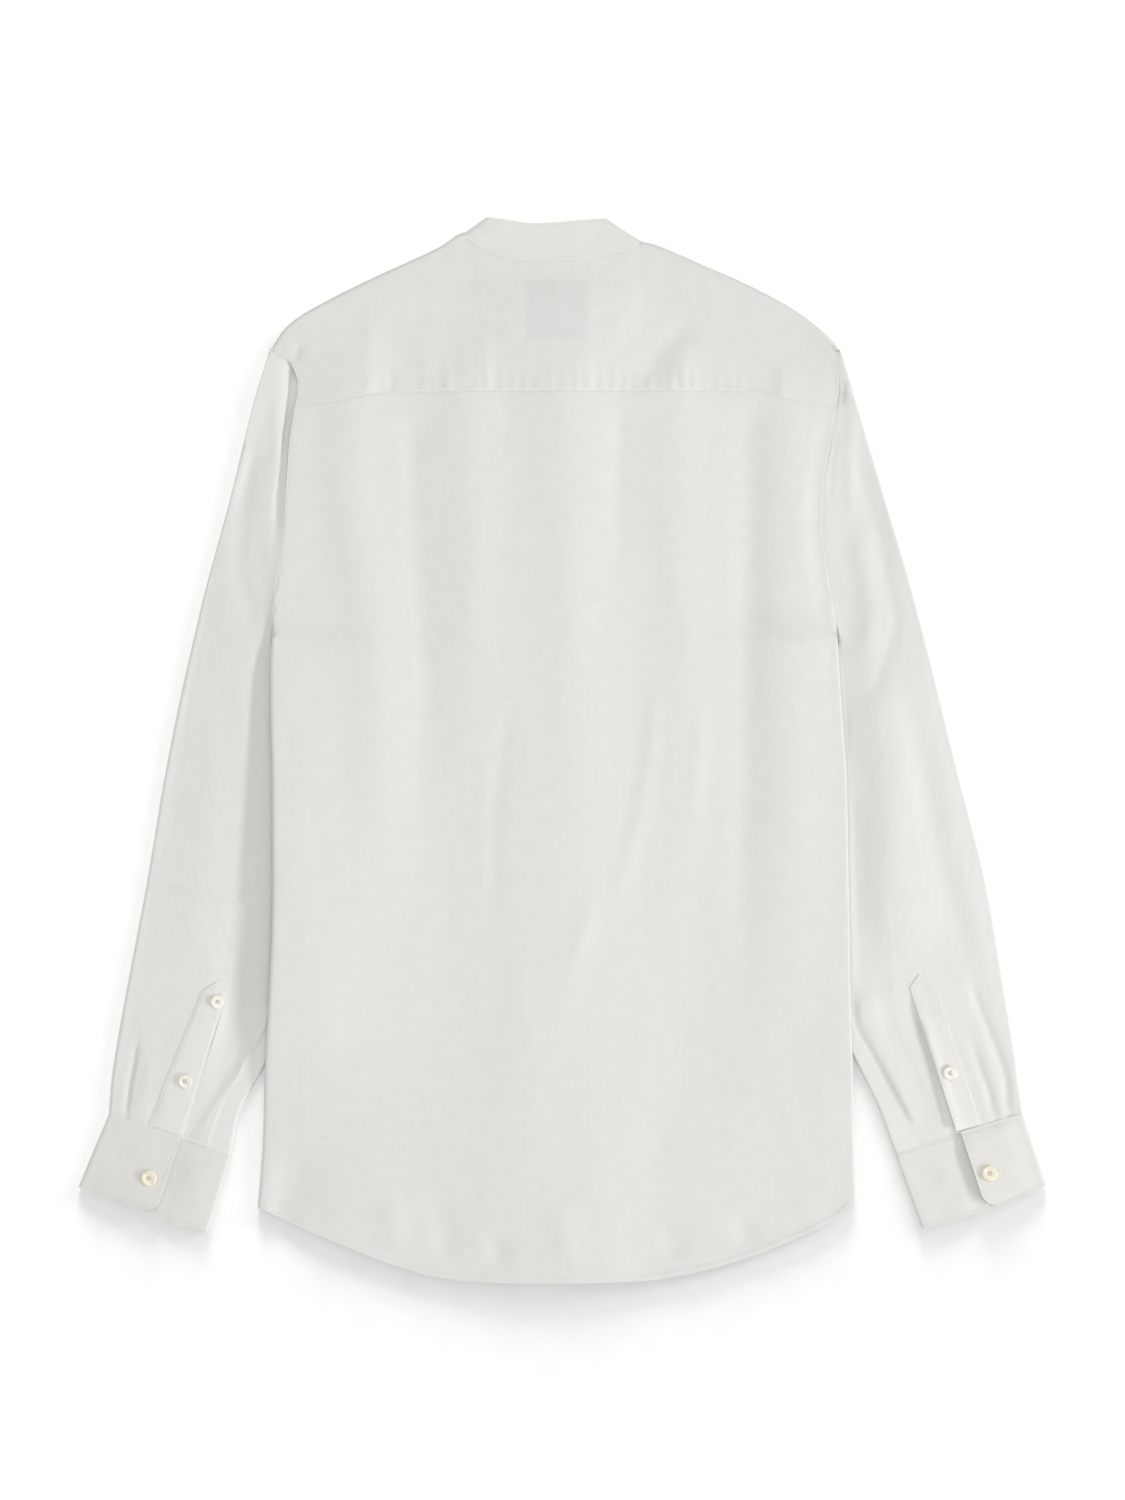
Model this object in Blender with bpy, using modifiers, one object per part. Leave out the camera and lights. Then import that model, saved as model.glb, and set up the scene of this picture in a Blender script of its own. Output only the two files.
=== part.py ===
# Mandarin collar shirt, laid flat on its front with the back upwards.
# +Y runs from the hem to the collar, +X to the right of the laid-out back, +Z up, and the floor is z = 0.
# All sizes and tables are millimetres; a point becomes metres only when its mesh is made.
import bpy
import math
from collections import namedtuple
from mathutils import Vector
from mathutils.bvhtree import BVHTree

METRE = 0.001

# Cloth and gaps
WALL = 1.1             # cloth wall
CUFF_WALL = 1.2        # cuff wall, two layers of cloth with interlining
SEAM = 0.3             # gap between two edges that are sewn together
LIE = 0.4              # gap between two layers that lie on each other

# Body
CENTRE = -5.0          # x of centre back and centre front
ROLL = 2.9             # outer radius of the folds at the sides and the shoulders
SHOULDER_TURN = 12.0   # how far the yoke reaches past the shoulder fold on the underside
SEAM_ROLL = 3.0        # length of cloth that rolls down into the armhole seam
ARMHOLE_GAP = 0.3      # from the body's edge to the sleeve's seam on the upper side
FRONT_ARMHOLE_GAP = 0.8  # and on the underside, where both edges run in long straight steps
SQUEEZE = 18.0         # stretch of the top layer that takes the edge columns where nothing is turned under
SIDE_SEAM_LEFT = -150.0
SIDE_SEAM_RIGHT = 138.5
MIDDLE_HEIGHT = 5.6    # top of the back layer between the spine and the sides
SIDE_LIFT_REACH = 130.0
UNDER_LIFT = 3.6       # underside of the body where it lies on the sleeves
LIFT_FLAT = 14.0       # from the side seam: the lift stays full over this width
LIFT_RAMP = 36.0       # and comes down to the floor over this width
SPINE_HALF = 18.0      # half width of the rise over the centre front stack
SPINE_RAMP = 67.0      # width over which that rise comes down
SHOULDER_RAMP = 45.0   # length over which the top layer comes down to the shoulder fold
YOKE_MIDDLE_Y = 272.0  # yoke seam at centre back
BACK_LENGTH = 677.0    # from there to the lowest point of the hem
EDGE_INSET = 0.4       # from the silhouette to the yoke's edge
BACK_DROP = 0.45       # from the yoke's lower edge down to the back's upper edge
NECK_SLACK = 12.0      # stretch of the yoke at the neck seam that takes the rows of the shoulder fold

# Centre front stack, seen from the floor up: button, placket strip, left front, right front
BUTTON_FLOOR = 0.2
BUTTON_THICK = 2.0
STRIP_LEVEL = 2.5
LEFT_FRONT_LEVEL = STRIP_LEVEL + WALL + SEAM
RIGHT_FRONT_LEVEL = LEFT_FRONT_LEVEL + WALL + SEAM
LAP = 16.0             # how far each front passes centre front
STACK_HALF = 17.0      # half width of the raised stack
STACK_RAMP = 33.0      # width over which a front comes down to the floor
STRIP_TOP_Y = 297.5
STRIP_INSET = 0.5      # from the edge of the left front to the edge of its strip

# Sleeves and cuffs
SLEEVE_FLAT = 3.2      # height of a sleeve pressed flat under the body
SLEEVE_CREST = 2.4     # how far a sleeve's outer half rises above that
CUFF_TOP = 4.9         # top of the lapped end of a cuff
CUFF_UNDER = 3.4       # top of the end that lies beneath it
CUFF_OVERLAP = 20.0    # length of that lower end beneath the lapped one
PLACKET_START = 0.825  # where the sleeve placket begins, as a share of the sleeve's length
PLACKET_POINT = 0.016  # length of its pointed end, as a share of the sleeve's length
PLACKET_INSET = 0.025  # from the step in the sleeve to the placket's edge, as a share of the width
PLACKET_DROP = 1.2     # height of the step in the sleeve beside the placket

# Buttons
BODY_BUTTON = 11.0
CUFF_BUTTON = 12.0
PLACKET_BUTTON = 10.5
FIRST_BUTTON_Y = 245.0
BUTTON_STEP = 84.0
FRONT_BUTTONS = 7
COLLAR_BUTTON_Y = 313.5
CUFF_BUTTON_DOWN = 0.6 # place of the cuff button between the cuff's seam and its end

LINEN = (0.80, 0.80, 0.775, 1.0)
SHELL_BUTTON = (0.72, 0.66, 0.50, 1.0)
LABEL_CLOTH = (0.55, 0.56, 0.58, 1.0)

# Silhouette of the body, or the armhole seam above the underarm
Side = namedtuple("Side", "y left right")
SIDES = [
    Side(304.5, -221.0, 209.5),
    Side(294.5, -206.5, 210.2),
    Side(277.0, -201.0, 210.4),
    Side(259.5, -203.5, 208.0),
    Side(228.0, -208.0, 203.0),
    Side(197.0, -210.0, 198.0),
    Side(165.0, -212.0, 197.5),
    Side(135.0, -216.0, 201.5),
    Side(97.0, -220.0, 207.5),
    Side(59.5, -221.5, 210.0),
    Side(14.0, -221.0, 213.0),
    Side(-20.0, -220.0, 215.5),
    Side(-105.5, -219.5, 217.0),
    Side(-190.5, -222.5, 218.5),
    Side(-236.5, -225.5, 220.0),
    Side(-297.0, -227.5, 221.0),
    Side(-347.5, -231.5, 223.0),
]

# Height of the top layer where it rolls over at the sides
Edge = namedtuple("Edge", "y height")
EDGES = [
    Edge(305.0, 5.8),
    Edge(200.0, 6.2),
    Edge(112.0, 6.8),
    Edge(86.0, 9.4),
    Edge(62.0, 9.4),
    Edge(-240.0, 9.4),
    Edge(-305.0, 6.2),
    Edge(-350.0, 5.8),
]

# Rows of the back by the height of their ends, and the length of cloth past the start of the side fold
BackRow = namedtuple("BackRow", "y wrap")
TO_SEAM = 999.0        # stands for all the way to the side seam
BACK_ROWS = [
    BackRow(261.0, 3.0),
    BackRow(233.0, 3.0),
    BackRow(200.0, 3.0),
    BackRow(166.0, 3.0),
    BackRow(136.0, 3.1),
    BackRow(112.0, 3.8),
    BackRow(97.0, 6.0),
    BackRow(87.0, 10.5),
    BackRow(79.0, 22.0),
    BackRow(71.0, 45.0),
    BackRow(62.0, 68.0),
    BackRow(54.0, TO_SEAM),
    BackRow(24.0, TO_SEAM),
    BackRow(-12.0, TO_SEAM),
    BackRow(-48.0, TO_SEAM),
    BackRow(-84.0, TO_SEAM),
    BackRow(-120.0, TO_SEAM),
    BackRow(-156.0, TO_SEAM),
    BackRow(-190.0, TO_SEAM),
    BackRow(-222.0, TO_SEAM),
    BackRow(-250.0, TO_SEAM),
    BackRow(-275.0, TO_SEAM),
    BackRow(-300.0, TO_SEAM),
    BackRow(-324.0, TO_SEAM),
    BackRow(-347.5, TO_SEAM),
]
BACK_TOP_COLUMNS = 18

# Rise of the top layer at centre back over the lapped fronts and the band
Spine = namedtuple("Spine", "y rise")
SPINE = [
    Spine(405.0, 0.6),
    Spine(375.0, 0.6),
    Spine(330.0, 3.7),
    Spine(300.0, 3.7),
    Spine(272.0, 2.8),
    Spine(-405.0, 2.8),
]

# Share of the lift that the sleeves beneath give to the body's lower layer, along the body
Lift = namedtuple("Lift", "y share")
LIFTS = [
    Lift(88.0, 0.0),
    Lift(64.0, 1.0),
    Lift(-250.0, 1.0),
    Lift(-305.0, 0.0),
]

Outline = namedtuple("Outline", "x y")
HEM = [
    Outline(-231.5, -347.5),
    Outline(-209.5, -358.5),
    Outline(-167.5, -376.0),
    Outline(-132.0, -390.0),
    Outline(-102.0, -398.5),
    Outline(-70.5, -403.0),
    Outline(-24.5, -404.4),
    Outline(56.5, -403.0),
    Outline(95.5, -397.5),
    Outline(137.0, -386.5),
    Outline(176.5, -371.5),
    Outline(208.5, -355.5),
    Outline(223.0, -342.5),
]
YOKE_SEAM = [
    Outline(-203.0, 261.0),
    Outline(-189.5, 262.5),
    Outline(-167.5, 265.5),
    Outline(-148.0, 269.5),
    Outline(-131.0, 271.5),
    Outline(-5.0, 272.5),
    Outline(146.5, 272.5),
    Outline(165.5, 267.0),
    Outline(199.5, 260.0),
    Outline(208.0, 259.5),
]
# Shoulder folds, joined across the neck
SHOULDERS = [
    Outline(-221.0, 305.0),
    Outline(-211.5, 319.0),
    Outline(-200.5, 328.5),
    Outline(-175.0, 343.0),
    Outline(-147.0, 357.0),
    Outline(-93.0, 382.0),
    Outline(-72.5, 393.5),
    Outline(53.0, 389.5),
    Outline(104.5, 369.0),
    Outline(132.5, 357.0),
    Outline(172.0, 336.5),
    Outline(188.0, 325.5),
    Outline(206.5, 309.0),
    Outline(209.5, 305.0),
]

# Columns of the yoke at its upper edge; wrap 1 turns under at the shoulder, 0 ends at the neck seam
YokeColumn = namedtuple("YokeColumn", "x neck_y wrap")
YOKE_COLUMNS = [
    YokeColumn(-220.6, None, 1.0),
    YokeColumn(-217.0, None, 1.0),
    YokeColumn(-210.5, None, 1.0),
    YokeColumn(-198.0, None, 1.0),
    YokeColumn(-178.0, None, 1.0),
    YokeColumn(-152.0, None, 1.0),
    YokeColumn(-125.0, None, 1.0),
    YokeColumn(-100.0, None, 1.0),
    YokeColumn(-84.0, None, 1.0),
    YokeColumn(-77.0, None, 0.8),
    YokeColumn(-70.0, 386.5, 0.0),
    YokeColumn(-59.0, 379.2, 0.0),
    YokeColumn(-40.0, 372.2, 0.0),
    YokeColumn(-22.0, 371.6, 0.0),
    YokeColumn(-3.0, 371.6, 0.0),
    YokeColumn(17.0, 371.8, 0.0),
    YokeColumn(34.0, 376.0, 0.0),
    YokeColumn(49.5, 383.0, 0.0),
    YokeColumn(57.5, None, 0.8),
    YokeColumn(65.0, None, 1.0),
    YokeColumn(83.0, None, 1.0),
    YokeColumn(108.0, None, 1.0),
    YokeColumn(134.0, None, 1.0),
    YokeColumn(160.0, None, 1.0),
    YokeColumn(182.0, None, 1.0),
    YokeColumn(198.0, None, 1.0),
    YokeColumn(205.5, None, 1.0),
    YokeColumn(209.1, None, 1.0),
]
YOKE_ROWS = 5

# Soft folds that fall from the yoke: x at the yoke seam and at the hem, height and half width
Fold = namedtuple("Fold", "top_x hem_x height half_width")
BACK_FOLDS = [
    Fold(-160.0, -140.0, 0.8, 21.0),
    Fold(-114.0, -108.0, -0.7, 12.0),
    Fold(-73.0, -76.0, 0.9, 21.0),
    Fold(2.0, 6.0, 0.8, 22.0),
    Fold(84.0, 88.0, 0.9, 22.0),
    Fold(140.0, 140.0, -0.8, 12.0),
    Fold(172.0, 176.0, 0.8, 18.0),
]

# Upper edge of each front, from the armhole over the shoulder seam and round the neckline to its lapped end
FRONT_TOP_LEFT = [
    Outline(-210.8, 289.0),
    Outline(-196.0, 315.3),
    Outline(-164.0, 333.0),
    Outline(-128.0, 350.0),
    Outline(-98.0, 364.0),
    Outline(-77.0, 372.5),
    Outline(-67.0, 353.0),
    Outline(-53.0, 330.0),
    Outline(-38.0, 313.0),
    Outline(-22.0, 303.0),
    Outline(-5.0, 299.0),
    Outline(11.0, 300.0),
]
FRONT_TOP_RIGHT = [
    Outline(199.4, 288.5),
    Outline(185.5, 311.6),
    Outline(153.0, 330.7),
    Outline(118.0, 347.0),
    Outline(86.0, 360.5),
    Outline(60.0, 369.5),
    Outline(52.0, 351.0),
    Outline(41.0, 329.0),
    Outline(27.0, 312.0),
    Outline(12.0, 303.0),
    Outline(-5.0, 299.0),
    Outline(-21.0, 302.5),
]
# Distances of a front's columns from its side seam, then from centre front
SEAM_COLUMNS = [0.0, 14.0, 26.0, 38.0, 50.0, 72.0]
CENTRE_COLUMNS = [50.0, 39.0, 28.0, 17.0, 0.0, -LAP]
FRONT_UPPER_ROWS = 8
FRONT_LOWER_ROWS = 12
HEM_RISE = 0.13        # slope of the hem on the turned-under part of the back
FRONT_HEM_SIDE = -338.0
FRONT_HEM_CENTRE = -401.0
UNDERARM_Y = 59.0

# Front armholes on the underside
Armhole = namedtuple("Armhole", "y left right")
ARMHOLES = [
    Armhole(299.0, -213.5, 203.5),
    Armhole(250.0, -196.0, 184.5),
    Armhole(190.0, -186.0, 175.0),
    Armhole(113.0, -173.0, 161.5),
    Armhole(75.0, -157.5, 146.0),
    Armhole(59.0, -150.0, 138.5),
]

# Sleeve sections: outer edge, crease where the body's edge crosses, inner edge
Section = namedtuple("Section", "t outer_x outer_y crease_x crease_y inner_x inner_y")
LEFT_SLEEVE = [
    Section(0.000, -222.0, 305.0, -221.8, 80.0, -150.4, 58.5),
    Section(0.072, -234.5, 263.5, -222.6, 72.0, -150.2, 43.0),
    Section(0.198, -252.5, 190.5, -223.0, 62.0, -150.0, 15.0),
    Section(0.338, -274.0, 110.5, -222.7, 50.0, -151.5, -18.0),
    Section(0.543, -300.0, -8.5, -221.4, -44.0, -161.0, -72.0),
    Section(0.708, -316.5, -105.5, -220.8, -125.0, -180.0, -133.0),
    Section(0.844, -331.5, -184.5, -224.0, -202.0, -209.5, -205.0),
    Section(0.915, -339.0, -227.0, -243.0, -242.0, -229.0, -245.0),
    Section(0.956, -342.5, -250.5, -260.0, -271.0, -245.5, -275.0),
    Section(1.000, -344.5, -276.5, -270.5, -301.5, -252.0, -308.0),
]
RIGHT_SLEEVE = [
    Section(0.000, 211.0, 305.0, 210.2, 80.0, 138.9, 58.5),
    Section(0.120, 231.5, 235.0, 212.5, 68.0, 138.7, 32.0),
    Section(0.215, 247.5, 182.0, 213.8, 60.0, 138.6, 11.0),
    Section(0.339, 268.5, 110.5, 214.5, 49.0, 140.0, -18.0),
    Section(0.550, 300.5, -17.0, 216.8, -46.0, 149.0, -72.0),
    Section(0.711, 322.5, -105.5, 218.4, -124.0, 169.0, -133.0),
    Section(0.855, 337.0, -190.5, 220.6, -203.0, 207.0, -206.0),
    Section(0.915, 343.0, -226.0, 239.0, -240.0, 226.0, -243.0),
    Section(0.952, 346.0, -248.0, 255.0, -269.0, 240.5, -273.0),
    Section(1.000, 350.0, -276.5, 272.0, -300.0, 252.5, -306.0),
]
RING_STATIONS = [0.0, 0.03, 0.07, 0.12, 0.18, 0.24, 0.31, 0.38, 0.45, 0.52, 0.59, 0.66, 0.72,
                 0.78, 0.825, 0.87, 0.905, 0.935, 0.96, 0.98, 1.0]
HIDDEN_STATIONS = [0.33, 0.67]
BOTTOM_COLUMNS = 6

# Troughs pressed into a sleeve's top: place by length and by width, from and to, depth and half width
Trough = namedtuple("Trough", "t0 q0 t1 q1 depth half_width")
LEFT_TROUGHS = [
    Trough(0.36, 0.58, 0.52, 0.56, 0.9, 7.0),
    Trough(0.91, 0.22, 1.00, 0.16, 1.0, 5.0),
]
RIGHT_TROUGHS = [
    Trough(0.14, 0.55, 0.34, 0.45, 0.9, 6.0),
    Trough(0.48, 0.30, 0.80, 0.26, 0.9, 8.0),
    Trough(0.84, 0.26, 1.00, 0.13, 1.0, 5.0),
]

# One side's own sizes; mirror is -1 where the sleeve lies on the left, the placket's edge, the columns and
# the cuff's lap are shares of the width from the outer fold, and its buttons are shares of the length
Arm = namedtuple("Arm", "name mirror sections troughs columns placket_edge placket_width placket_buttons "
                        "corners lap cuff_button_inset")
Corner = namedtuple("Corner", "seam_outer seam_inner end_outer end_inner")
LEFT_ARM = Arm(
    name="left",
    mirror=-1,
    sections=LEFT_SLEEVE,
    troughs=LEFT_TROUGHS,
    columns=(0.0, 0.1, 0.2, 0.3, 0.41, 0.52, 0.63, 0.75, 0.79, 0.9, 1.0),
    placket_edge=0.77,
    placket_width=24.0,
    placket_buttons=(0.938, 0.836),
    corners=Corner((-344.5, -276.5), (-252.0, -308.0), (-367.5, -331.5), (-269.5, -365.0)),
    lap=0.60,
    cuff_button_inset=13.0,
)
RIGHT_ARM = Arm(
    name="right",
    mirror=1,
    sections=RIGHT_SLEEVE,
    troughs=RIGHT_TROUGHS,
    columns=(0.0, 0.1, 0.2, 0.3, 0.4, 0.5, 0.61, 0.65, 0.77, 0.9, 1.0),
    placket_edge=0.63,
    placket_width=20.0,
    placket_buttons=(0.932,),
    corners=Corner((350.0, -276.5), (252.5, -306.0), (367.5, -330.0), (273.0, -363.5)),
    lap=0.49,
    cuff_button_inset=10.6,
)

# Rows of a cuff from its seam to its end, and how much of the lapped end is rounded off there
CuffRow = namedtuple("CuffRow", "down rounding")
CUFF_ROWS = [
    CuffRow(0.006, 0.0),
    CuffRow(0.4, 0.0),
    CuffRow(0.78, 0.0),
    CuffRow(0.9, 2.5),
    CuffRow(0.97, 7.0),
    CuffRow(1.0, 13.0),
]

# Collar band, a row for each section: its sewn edge, its free edge, and the angle of its turn in degrees
# (0 upper layer, 180 lower layer); the ends of the band lap at centre front
Band = namedtuple("Band", "low_x low_y top_x top_y turn")
BAND = [
    Band(9.0, 300.4, 9.0, 328.5, 180),
    Band(-5.0, 299.5, -5.0, 327.5, 180),
    Band(-22.0, 303.5, -19.0, 331.0, 180),
    Band(-37.6, 313.5, -28.5, 337.5, 180),
    Band(-52.5, 330.5, -38.0, 350.5, 180),
    Band(-66.3, 353.5, -48.0, 368.0, 180),
    Band(-70.5, 372.0, -53.5, 386.0, 180),
    Band(-70.6, 388.5, -55.5, 400.0, 180),
    Band(-72.0, 391.5, -57.0, 403.3, 135),
    Band(-72.6, 392.6, -57.6, 404.6, 90),
    Band(-72.0, 391.5, -56.6, 404.0, 45),
    Band(-69.6, 388.2, -54.0, 403.8, 0),
    Band(-58.7, 379.8, -47.5, 403.0, 0),
    Band(-39.9, 372.8, -36.0, 401.3, 0),
    Band(-22.0, 372.2, -24.0, 399.6, 0),
    Band(-3.0, 372.2, -8.0, 400.2, 0),
    Band(17.0, 372.4, 9.5, 401.6, 0),
    Band(33.7, 376.6, 24.0, 402.8, 0),
    Band(48.8, 384.0, 32.5, 403.0, 0),
    Band(52.6, 388.8, 36.5, 400.6, 45),
    Band(53.4, 389.8, 37.6, 399.8, 90),
    Band(52.4, 388.6, 36.5, 398.4, 135),
    Band(51.0, 386.0, 35.0, 395.5, 180),
    Band(54.5, 371.0, 37.0, 384.0, 180),
    Band(51.3, 351.5, 33.0, 366.5, 180),
    Band(40.4, 329.5, 26.0, 349.5, 180),
    Band(26.6, 312.5, 17.5, 336.5, 180),
    Band(12.0, 303.5, 9.0, 330.5, 180),
    Band(-5.0, 299.5, -5.0, 327.5, 180),
    Band(-19.0, 302.5, -19.0, 331.0, 180),
]
BAND_FREE_LEVEL = 5.0

LABEL_X = (-28.5, 18.5)
LABEL_Y = (311.0, 356.0)


def blend(a, b, share):
    return a + (b - a) * share


def blend_point(a, b, share):
    return tuple(blend(p, q, share) for p, q in zip(a, b))


def ease(value):
    """0 below 0, 1 above 1, and a smooth step between."""
    value = min(1.0, max(0.0, value))
    return value * value * (3.0 - 2.0 * value)


class Curve:
    """A smooth curve without overshoot through one column of a table, read by another column."""

    def __init__(self, rows, key, value):
        pairs = sorted((getattr(row, key), getattr(row, value)) for row in rows)
        self.keys = [pair[0] for pair in pairs]
        self.values = [pair[1] for pair in pairs]
        slopes = [(self.values[i + 1] - self.values[i]) / (self.keys[i + 1] - self.keys[i])
                  for i in range(len(pairs) - 1)]
        self.tangents = [slopes[0]]
        for before, after in zip(slopes, slopes[1:]):
            same_way = before * after > 0
            self.tangents.append(2 * before * after / (before + after) if same_way else 0.0)
        self.tangents.append(slopes[-1])

    def __call__(self, at):
        if at <= self.keys[0]:
            return self.values[0]
        if at >= self.keys[-1]:
            return self.values[-1]
        i = max(k for k in range(len(self.keys) - 1) if self.keys[k] <= at)
        span = self.keys[i + 1] - self.keys[i]
        s = (at - self.keys[i]) / span
        start = (1 + 2 * s) * (1 - s) ** 2 * self.values[i] + s * (1 - s) ** 2 * span * self.tangents[i]
        end = s * s * (3 - 2 * s) * self.values[i + 1] - s * s * (1 - s) * span * self.tangents[i + 1]
        return start + end


left_edge = Curve(SIDES, "y", "left")
right_edge = Curve(SIDES, "y", "right")
edge_height = Curve(EDGES, "y", "height")
hem = Curve(HEM, "x", "y")
yoke_seam = Curve(YOKE_SEAM, "x", "y")
shoulder = Curve(SHOULDERS, "x", "y")
armhole_left = Curve(ARMHOLES, "y", "left")
armhole_right = Curve(ARMHOLES, "y", "right")
spine_rise = Curve(SPINE, "y", "rise")
lift_along = Curve(LIFTS, "y", "share")
TOP_Y = SIDES[0].y


def back_folds(x, y):
    """Height of the soft folds that fall from the yoke, fading out towards the hem."""
    down = (YOKE_MIDDLE_Y - y) / BACK_LENGTH
    if down < 0:
        return 0.0
    fade = ease(down / 0.12) * (1.0 - 0.75 * ease((down - 0.45) / 0.5))
    total = 0.0
    for fold in BACK_FOLDS:
        offset = (x - blend(fold.top_x, fold.hem_x, down)) / fold.half_width
        total += fold.height * math.exp(-offset * offset)
    return total * fade


def body_top(x, y):
    """Top of the back and yoke, without the roll at their edges."""
    spine = 1.0 - ease((abs(x - CENTRE) - SPINE_HALF) / SPINE_RAMP)
    height = MIDDLE_HEIGHT + spine * spine_rise(y) + back_folds(x, y)
    side_y = min(y, TOP_Y)
    inside = min(x - left_edge(side_y), right_edge(side_y) - x)
    lift = 1.0 - ease(inside / SIDE_LIFT_REACH)
    height += (edge_height(side_y) - MIDDLE_HEIGHT) * lift
    from_fold = shoulder(x) - y - ROLL
    return blend(height, 2 * ROLL, 1.0 - ease(from_fold / SHOULDER_RAMP))


def side_lift(x, y):
    """Share of the lift that the sleeves give to the body's lower layer."""
    if x < CENTRE:
        inside = x - SIDE_SEAM_LEFT
    else:
        inside = SIDE_SEAM_RIGHT - x
    across = 1.0 - ease((inside - LIFT_FLAT) / LIFT_RAMP)
    return across * lift_along(y)


def front_level(x, y, stack_level):
    """Underside of a front."""
    stack = 1.0 - ease((abs(x - CENTRE) - STACK_HALF) / STACK_RAMP)
    return UNDER_LIFT * side_lift(x, y) + stack_level * stack


def material(name, colour, roughness):
    finish = bpy.data.materials.new(name)
    finish.use_nodes = True
    shader = finish.node_tree.nodes["Principled BSDF"]
    shader.inputs["Base Color"].default_value = colour
    shader.inputs["Roughness"].default_value = roughness
    shader.inputs["Metallic"].default_value = 0.0
    return finish


def add_object(name, points, faces, colour, roughness):
    mesh = bpy.data.meshes.new(name)
    mesh.from_pydata([Vector(p) * METRE for p in points], [], faces)
    mesh.materials.append(material(name, colour, roughness))
    mesh.shade_smooth()
    piece = bpy.data.objects.new(name, mesh)
    shirt.objects.link(piece)
    return piece


def cloth(name, rows, wall=WALL, closed=False, flip=False, colour=LINEN):
    """A cloth wall whose outer face passes through rows of points; closed joins each row into a ring."""
    across = len(rows[0])
    points = [point for row in rows for point in row]
    faces = []
    for r in range(len(rows) - 1):
        for c in range(across if closed else across - 1):
            after = (c + 1) % across
            corners = [r * across + c, (r + 1) * across + c, (r + 1) * across + after, r * across + after]
            faces.append(corners[::-1] if flip else corners)
    piece = add_object(name, points, faces, colour, 0.85)
    thickness = piece.modifiers.new("Wall", "SOLIDIFY")
    thickness.thickness = wall * METRE
    thickness.offset = -1.0
    thickness.use_even_offset = True
    thickness.use_quality_normals = True
    return piece


def turned_edge(distance, edge_x, inward, top):
    """A point of the body's side fold: distance runs from the start of the fold, round it and back under."""
    centre_x = edge_x + inward * ROLL
    centre_z = top - ROLL
    half_turn = math.pi * ROLL
    if distance <= 0.0:
        return centre_x - inward * distance, top
    if distance <= half_turn:
        angle = distance / ROLL
        return centre_x - inward * ROLL * math.sin(angle), centre_z + ROLL * math.cos(angle)
    return centre_x + inward * (distance - half_turn), centre_z - ROLL


def wrap_distances(wrap, edge_x, seam_x):
    """Distances of the edge columns past the start of the fold, from the innermost to the cloth's end."""
    half_turn = math.pi * ROLL
    to_seam = half_turn + abs(seam_x - edge_x) - ROLL - SEAM / 2
    wrap = min(wrap, to_seam)
    full = [half_turn * k / 4 for k in range(5)]
    full += [blend(half_turn, to_seam, k / 3) for k in range(1, 4)]
    slack = SQUEEZE * (1.0 - ease((wrap - SEAM_ROLL) / 12.0))
    return [-slack + distance / to_seam * (wrap + slack) for distance in full], slack


def back_edge_point(distance, edge_x, y, inward, share):
    """A point near the back's side; under the hem's corners the hem goes on rising to the side seam."""
    x, z = turned_edge(distance, edge_x, inward, edge_height(y))
    if distance <= 0.0:
        return x, y, body_top(x, y)
    under = max(0.0, distance - math.pi * ROLL)
    return x, y + under * HEM_RISE * ease((share - 0.9) / 0.1), z


def yoke_edge(x):
    """Height of the yoke's lower edge, which runs straight between its columns."""
    first_x = YOKE_COLUMNS[0].x
    last_x = YOKE_COLUMNS[-1].x
    places = []
    for column in YOKE_COLUMNS:
        part = (column.x - first_x) / (last_x - first_x)
        places.append(blend(left_edge(YOKE_SEAM[0].y) + EDGE_INSET, right_edge(YOKE_SEAM[-1].y) - EDGE_INSET, part))
    if x <= places[0]:
        return yoke_seam(places[0])
    for a, b in zip(places[:-1], places[1:]):
        if x <= b:
            return blend(yoke_seam(a), yoke_seam(b), (x - a) / (b - a))
    return yoke_seam(places[-1])


def back_side(wrap, edge_x, edge_y, seam_x, inward, share, first_edge):
    """The points of one row past a side of the back, and the slack on top; its first row lies along the yoke."""
    first_x, first_y = first_edge
    distances, slack = wrap_distances(wrap, edge_x, seam_x)
    first_distances, _ = wrap_distances(BACK_ROWS[0].wrap, first_x, seam_x)
    points = []
    for distance, first_distance in zip(distances, first_distances):
        above = back_edge_point(first_distance, first_x, first_y, inward, 0.0)
        rise = (yoke_edge(above[0]) - BACK_DROP - above[1]) * (1.0 - share)
        x, y, z = back_edge_point(distance, edge_x, edge_y, inward, share)
        points.append((x, y + rise, z))
    return points, slack


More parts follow.
